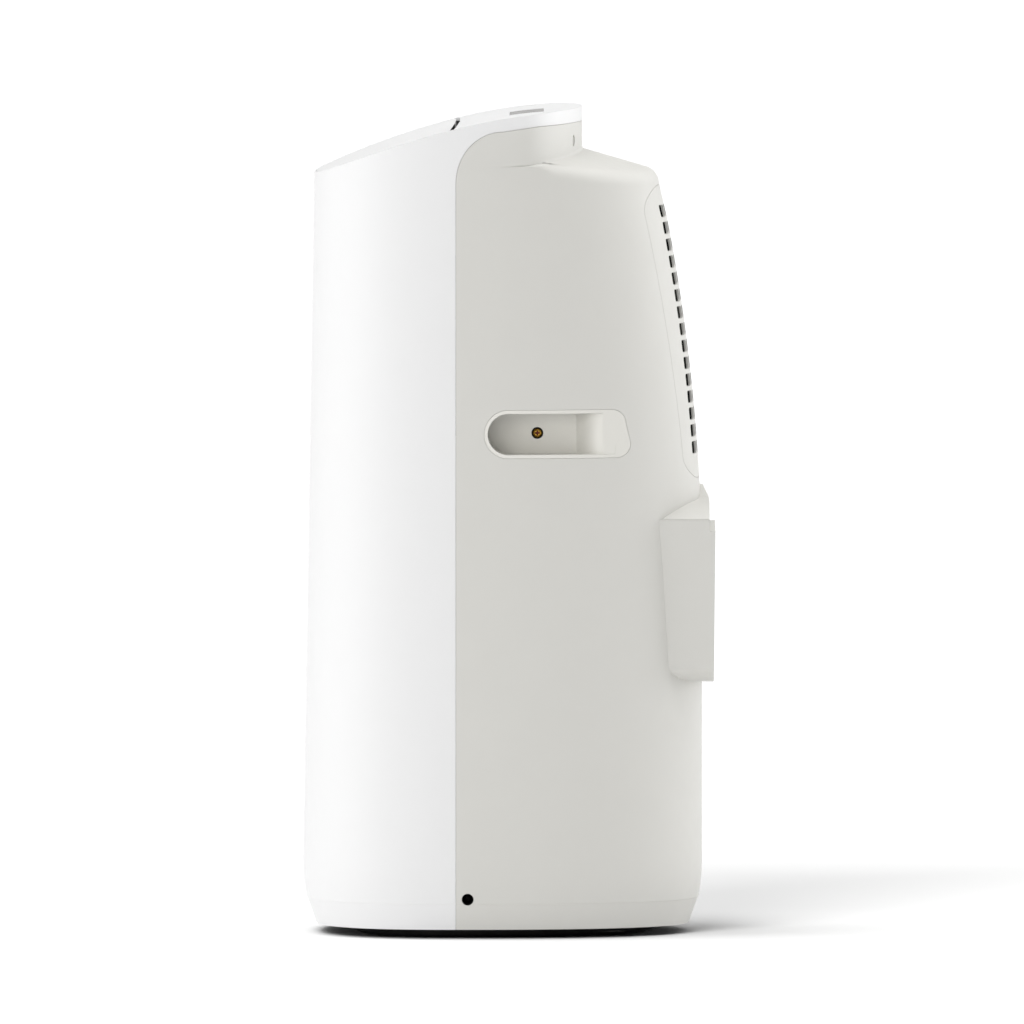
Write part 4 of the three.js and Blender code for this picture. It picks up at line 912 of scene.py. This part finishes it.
def slot_outlines():
    outlines = []
    for level, half in slot_rows():
        pitch = (2 * half + SLOTS["rib"]) / SLOTS["columns"]
        for column in range(SLOTS["columns"]):
            middle = -half + column * pitch + (pitch - SLOTS["rib"]) / 2
            outline = rounded_box((pitch - SLOTS["rib"]) / 2, slot_height / 2, SLOTS["round"])
            outlines.append([(middle + u, level + v) for u, v in outline])
    return outlines


FILTER_ROOM = 4


def filter_bed(depth, room):
    """The space behind the slotted middle of the panel, from a depth under its skin inwards."""
    high, low = slots_top + room, GRILLE["bottom"] + SLOTS["margin"] - room
    frame_line = rounded_box(SLOTS["half_top"] + room, (high - low) / 2, 8)
    outline = [(u, (high + low) / 2 + v) for u, v in frame_line]
    return carve(prism("filter_bed", outline, 60, 260, along_y), ("INTERSECT", rear_form("under_skin", depth)))


slots = join("slots", [prism("slot", outline, 60, 260, along_y) for outline in slot_outlines()])
panel = carve(copy_of(rear_outer, "intake_panel_plate"), ("DIFFERENCE", inner_body()),
              ("INTERSECT", prism("grille_plan", grille_outline(0), 60, 260, along_y)),
              ("DIFFERENCE", slots), ("DIFFERENCE", filter_bed(RIB_DEPTH, FILTER_ROOM)))
finished(smooth(panel, rear_skin, rear_lining), "intake_grille")
filter_net = carve(filter_bed(RIB_DEPTH + 0.1, FILTER_ROOM - 0.4), ("INTERSECT", outer_body()),
                   ("DIFFERENCE", rear_form("filter_back", WALL + 0.6)))
filter_net.name = "filter_net"
finished(smooth(filter_net), "filter_screen")

around = rear_form("around", 0.3)
corner_x, corner_z = HOUSING["corner"]
half_housing = arc(HOUSING["half_bottom"] - corner_x, HOUSING["bottom"] + corner_z, corner_x, corner_z,
                   -90, 0, 20)
half_housing.append((HOUSING["half_top"], HOUSING["top"]))
housing_outline = half_housing + [(-x, z) for x, z in half_housing[::-1]]
HOUSING_DRAFT = 1.4
housing_side = [(80, HOUSING["bottom"] - 1), (HOUSING["rear"] - HOUSING_DRAFT, HOUSING["bottom"] - 1),
                (HOUSING["rear"], HOUSING["top"] + 1), (80, HOUSING["top"] + 1)]
# Behind the hood the housing's top edge is a low arch.
lip_middle, lip_side = (HOUSING["top"] - drop_down for drop_down in HOUSING["lip"])
lip_outline = [(-120, lip_side), (0, lip_middle), (120, lip_side),
               (120, HOUSING["top"] + 5), (-120, HOUSING["top"] + 5)]
housing = carve(prism("exhaust_box", housing_outline, 80, HOUSING["rear"] + 1, along_y),
                ("INTERSECT", prism("draft", housing_side, -120, 120, along_x)),
                ("DIFFERENCE", copy_of(around, "near")), ("DIFFERENCE", duct_opening()),
                ("DIFFERENCE", prism("lip", lip_outline, HOOD["rear"], 260, along_y)))
finished(smooth(housing, angle=24), "exhaust_housing")

hood_low = HOUSING["top"] + 0.05
hood_arch = []
for step in range(49):
    x = HOOD["half_width"] * (1 - step / 24)
    swell = HOOD["swell"] * (1 - (x / HOOD["half_width"]) ** 4)
    peak = (HOOD["top"] - HOOD["side_top"] - HOOD["swell"]) * math.exp(-((x / 20) ** 2))
    hood_arch.append((x, HOOD["side_top"] + swell + peak))
hood_outline = [(-HOOD["half_width"], hood_low), (HOOD["half_width"], hood_low), *hood_arch]
hood_side = [(80, hood_low - 1), (HOOD["rear"], hood_low - 1), (HOOD["rear"], HOOD["top"] - HOOD["chamfer"]),
             (HOOD["rear"] - 0.5, HOOD["top"] - HOOD["chamfer"] + 2.4),
             (HOOD["rear"] - 6, HOOD["top"] + 1), (80, HOOD["top"] + 1)]
hood = carve(prism("duct_cover", hood_outline, 80, HOOD["rear"] + 2, along_y),
             ("INTERSECT", prism("hood_side", hood_side, -120, 120, along_x)), ("DIFFERENCE", around))
finished(smooth(hood, angle=24), "duct_hood")

# ------------------------------------------------------------------ handle inserts and screws
def pocket_plan():
    """The pocket seen from above: its floor is flat, then rises to meet the outer surface."""
    start, end = HANDLE_RAMP
    points = [(HANDLE_FLOOR_X, HANDLE["front"] - 20)]
    for i in range(29):
        share = i / 28
        y = start + (end - start) * share
        lift = (1 - (1 - share**1.3) ** 3) * 1.02
        points.append((HANDLE_FLOOR_X + (width_at(y, HANDLE["z"], 0) - HANDLE_FLOOR_X) * lift, y))
    return points + [(220, end), (220, HANDLE["front"] - 20)]


pocket = carve(prism("pocket", handle_outline(3), 120, 220, along_x),
               ("INTERSECT", prism("ramp", pocket_plan(), HANDLE["z"] - 40, HANDLE["z"] + 40, along_z)))
seat_x = HANDLE_FLOOR_X - SCREW["head_height"]
insert = carve(
    prism("hand_recess_right", handle_outline(0), HANDLE_FLOOR_X - 5, 220, along_x),
    ("INTERSECT", outer_body()), ("DIFFERENCE", pocket),
    ("DIFFERENCE", prism("well", circle(HANDLE_SCREW_Y, HANDLE["z"], SCREW["hole"], 40),
                         seat_x, 136, along_x)),
    ("DIFFERENCE", prism("bore", circle(HANDLE_SCREW_Y, HANDLE["z"], SCREW["shank"] + 0.35, 24),
                         120, 130, along_x)))
smooth(insert, rear_skin)
insert_left = mirrored(insert, "hand_recess_left")
smooth(insert_left, rear_skin)
for made, node in ((insert, "handle_insert_right"), (insert_left, "handle_insert_left")):
    finished(made, node, extra=WELL_SHADE)
    # Faces inside the screw well take the near-black brown: painted shade in the hole.
    for polygon in made.data.polygons:
        out = polygon.center - Vector((0, HANDLE_SCREW_Y * MM, HANDLE["z"] * MM))
        if math.hypot(out.y, out.z) < 5.3 * MM and abs(out.x) < (HANDLE_FLOOR_X - 0.1) * MM:
            polygon.material_index = 1


def screw(name, x, y, z, side):
    """A pan-head screw on its side, with a tapered cross recess."""
    def place(u, v, w):
        return x + side * w, y + u, z + v

    high, head = SCREW["head_height"], SCREW["head"]
    profile = [(0, -SCREW["length"]), (0.7, -SCREW["length"] + 0.6)]
    turns = 9
    for i in range(turns):
        low = -SCREW["length"] + 2 + i * (SCREW["length"] - 3) / turns
        profile += [(SCREW["shank"], low), (SCREW["shank"] - 0.4, low + 0.6)]
    profile += [(SCREW["shank"], -0.4), (SCREW["shank"], 0), (head - 0.3, 0), (head, 0.25), (head, 0.9),
                (head - 0.3, 1.4), (2.0, high - 0.1), (0, high)]
    made = lathe(name, profile, place, 40)
    bars = []
    for turned_over in (False, True):
        outline = [(-2.1, 0.8), (-2.1, -0.8), (2.1, -0.8), (2.1, 0.8)]
        if turned_over:
            outline = [(v, u) for u, v in outline]
        bars.append(prism("bar", outline, high - 1.4, high + 2, place))
    return carve(made, ("DIFFERENCE", bars[0]), ("DIFFERENCE", bars[1]))


def fit_screws(kind, x, y, z, finish=None):
    for side, word in ((1, "right"), (-1, "left")):
        made = smooth(screw(f"{kind}_pan_head_{word}", side * x, y, z, side), angle=28)
        finished(made, f"{kind}_{word}", extra=RECESS_SHADE)
        if finish:
            made.data.materials[0] = made.data.materials[1] = finish.material
        # Faces down in the cross recess take the dark red-brown: painted shade.
        for polygon in made.data.polygons:
            inside = side * polygon.center.x < (x + SCREW["head_height"] - 0.35) * MM
            out = polygon.center - Vector((0, y * MM, z * MM))
            if inside and side * polygon.center.x > (x + 0.9) * MM and math.hypot(out.y, out.z) < 2.3 * MM:
                polygon.material_index = 1


fit_screws("handle_screw", seat_x + GAP, HANDLE_SCREW_Y, HANDLE["z"])
# The base screws are near black all over: painted shade of their deep holes.
fit_screws("base_screw", 150 + GAP, BASE_SCREW["y"], BASE_SCREW["z"], SHADED_SCREW)

cap_profile = [(0, -NECK_CAP["depth"]), (3.4, -NECK_CAP["depth"]), (3.4, -1.6), (4.2, -1.6),
               (NECK_CAP["radius"], -1.3), (NECK_CAP["radius"], -0.8), (4.2, -0.5), (3.2, -0.4), (0, -0.35)]
cap_right = smooth(lathe("screw_cap_right", cap_profile, cap_place, 40), angle=40)
cap_left = smooth(mirrored(cap_right, "screw_cap_left"), angle=40)
finished(cap_right, "neck_screw_cap_right")
finished(cap_left, "neck_screw_cap_left")

# ------------------------------------------------------------------ duct collar, plugs and gland
collar_front = HOUSING["rear"] - DUCT["depth"]
collar_length = DUCT["depth"] - 1


def on_duct(u, v, w):
    return u, collar_front + w, DUCT["z"] + v


collar_profile = [(DUCT["inner"], 0), (DUCT["opening"] - GAP, 0),
                  (DUCT["opening"] - GAP, collar_length - 0.8),
                  (DUCT["opening"] - GAP - 0.8, collar_length), (DUCT["inner"] + 1.2, collar_length),
                  (DUCT["inner"] + 0.4, collar_length - 0.35), (DUCT["inner"], collar_length - 1.2),
                  (DUCT["inner"], 0)]
collar = lathe("outlet_collar", collar_profile, on_duct, 96)
lugs = [prism("lug", rounded_box(2, 9, 1.4), collar_length - 8, collar_length - 4,
              lambda u, v, w, s=side: (s * (DUCT["inner"] - 1) + u, collar_front + w, DUCT["z"] + v))
        for side in (-1, 1)]
carve(collar, *[("UNION", lug) for lug in lugs])
finished(smooth(collar, angle=34), "duct_collar")

for name, z in zip(("upper", "lower"), DRAIN["levels"]):
    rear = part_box(f"{name}_drain_plug")[1].y / MM

    def on_plug(u, v, w, z=z, rear=rear):
        return u, rear + w, z + v

    cap = DRAIN["cap"]
    plug_profile = [(0, -DRAIN["length"]), (DRAIN["shank"] - 1.2, -DRAIN["length"]),
                    (DRAIN["shank"] - 0.4, -DRAIN["length"] + 1.2)]
    for ridge in range(3):
        low = -DRAIN["length"] + 4 + 3.4 * ridge
        plug_profile += [(DRAIN["shank"] - 0.5, low), (DRAIN["shank"], low + 0.5),
                         (DRAIN["shank"] - 0.5, low + 1)]
    plug_profile += [(DRAIN["shank"] - 0.5, -DRAIN["thickness"]), (cap - 0.3, -DRAIN["thickness"]),
                     (cap, -DRAIN["thickness"] + 0.4), (cap, -0.6), (cap - 0.5, -0.12), (cap - 1.2, 0),
                     (cap - 2.2, 0), (cap - 2.8, -0.5), (5.2, -0.6), (4.6, -0.1), (4, 0), (0, 0)]
    finished(smooth(lathe(f"{name}_plug_seal", plug_profile, on_plug, 56), angle=40), f"{name}_drain_plug")

# ------------------------------------------------------------------ a black rim under the base: the pan's own black carried down to the floor as painted shade


def base_point(angle, z, inset):
    c, s = math.cos(angle), math.sin(angle)
    reach = REAR_REACH - SEAM_Y if s > 0 else FRONT_REACH + SEAM_Y
    x = (HALF_WIDTH - inset) * signed_power(c, 2 / PLAN_POWER)
    return x, SEAM_Y + (reach - inset) * signed_power(s, 2 / PLAN_POWER)


# The rim reaches 0.4 mm above the floor and fills the gap under the base pan, where there is only shade:
# partly the pan's real black, partly painted shade.
FOOT_LEVELS = ((0.4, 48), (1.2, 46.6), (4, 38), (SHELL_BOTTOM - GAP, 32.7))
base_rim_shade = carve(loft("base_rim_shade", [ring(base_point, z, inset) for z, inset in FOOT_LEVELS]),
                 ("DIFFERENCE", loft("foot_hollow", [ring(base_point, z, 51) for z in (0, 2, SHELL_BOTTOM)])))
dress(smooth(base_rim_shade), LOOKS["black_plastic"].material)
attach(base_rim_shade, "cabinet")

# ------------------------------------------------------------------ the pieces inside, kept from the frame
for node, made in frame["nodes"].items():
    if made.hide_render or node in ("filter_screen", "base_pan", "chassis_plate"):
        continue
    rounding = made.modifiers.new("round", "BEVEL")
    rounding.width, rounding.segments = 0.35 * MM, 2
    rounding.limit_method, rounding.angle_limit = "ANGLE", math.radians(50)

for unused in (rear_outer, rear_inner):
    drop(unused)

# ------------------------------------------------------------------ floor, light and camera
FLOOR = 60 / MM
floor_corners = [(x * FLOOR, y * FLOOR, 0) for x, y in ((-1, -1), (1, -1), (1, 1), (-1, 1))]
floor = new_object("floor", floor_corners, [(0, 1, 2, 3)])
floor_look = Nodes("floor")
shade = floor_look.mix(floor_look.noise(1.3, 2.0), (0.37, 0.37, 0.37, 1), (0.39, 0.39, 0.39, 1))
floor_look.join("Base Color", shade)
floor_look.set(Roughness=0.9, Specular_IOR_Level=0.1)
dress(floor, floor_look.material)

world = bpy.data.worlds.new("studio")
scene.world = world
world.use_nodes = True
sky = world.node_tree.nodes["Background"]
sky.inputs["Color"].default_value = (1.0, 1.0, 1.0, 1)
# The studio is lit by its pale walls, which are brightest in front of the machine, behind it and overhead.
OPEN_LIGHT = 0.1
WALL_LIGHTS = (  # toward, strength, narrowness
    ((0.0, -1.0, 0.0), 2.02, 3.0),
    ((-0.45, 0.89, 0.1), 2.5, 4.0),
    ((0.0, 0.0, 1.0), 3.55, 6.0),
)


def world_node(kind, *inputs, **settings):
    node = world.node_tree.nodes.new(kind)
    for key, value in settings.items():
        setattr(node, key, value)
    for index, value in enumerate(inputs):
        if isinstance(value, bpy.types.NodeSocket):
            world.node_tree.links.new(value, node.inputs[index])
        else:
            node.inputs[index].default_value = value
    return node.outputs


toward = world_node("ShaderNodeTexCoord")["Generated"]
strength = OPEN_LIGHT
for wall, share, narrow in WALL_LIGHTS:
    aim = Vector(wall).normalized()
    facing = world_node("ShaderNodeVectorMath", toward, aim, operation="DOT_PRODUCT")["Value"]
    ahead = world_node("ShaderNodeMath", facing, 0.0, operation="MAXIMUM")[0]
    lobe = world_node("ShaderNodeMath", ahead, narrow, operation="POWER")[0]
    strength = world_node("ShaderNodeMath", lobe, share, strength, operation="MULTIPLY_ADD")[0]
world.node_tree.links.new(strength, sky.inputs["Strength"])


def soft_sun(name, toward_light, spread, watts):
    data = bpy.data.lights.new(name, "SUN")
    data.angle, data.energy = math.radians(spread), watts
    made = bpy.data.objects.new(name, data)
    scene.collection.objects.link(made)
    made.rotation_euler = Vector(toward_light).to_track_quat("Z", "Y").to_euler()
    return made


def shine_on(light, *receivers):
    """The light reaches only these."""
    lit = bpy.data.collections.new(light.name + "_reach")
    for receiver in receivers:
        lit.objects.link(receiver)
    light.light_linking.receiver_collection = lit


soft_sun("key", (1.0, -0.3, 0.35), 40, 0.5)
# A low light on the floor alone throws the machine's soft shadow back and to the right.
shine_on(soft_sun("floor_key", (1.0, -0.28, 0.47), 26, 7.0), floor)
# One from overhead and ahead darkens the floor close behind the machine.
shine_on(soft_sun("floor_top", (0.05, -0.25, 1.0), 24, 2.2), floor)
# A weak light from the side reaches into the hand recesses.
recess_fill = soft_sun("recess_fill", (1.0, -0.3, 0.05), 36, 0.95)
recess_fill.data.color = (1.0, 0.96, 0.87)
shine_on(recess_fill, insert, insert_left)

DISTANCE = 38.68
RAISED = math.radians(2.15)
AIM = Vector((0, 0.00255, 0.356))
camera_data = bpy.data.cameras.new("camera")
camera_data.sensor_width = 36
camera_data.lens = 1600
camera_data.clip_start, camera_data.clip_end = 0.1, 200
camera = bpy.data.objects.new("camera", camera_data)
scene.collection.objects.link(camera)
camera.location = AIM + Vector((math.cos(RAISED), 0, math.sin(RAISED))) * DISTANCE
camera.rotation_euler = (AIM - camera.location).to_track_quat("-Z", "Y").to_euler()
scene.camera = camera
scene.view_settings.view_transform = "Standard"
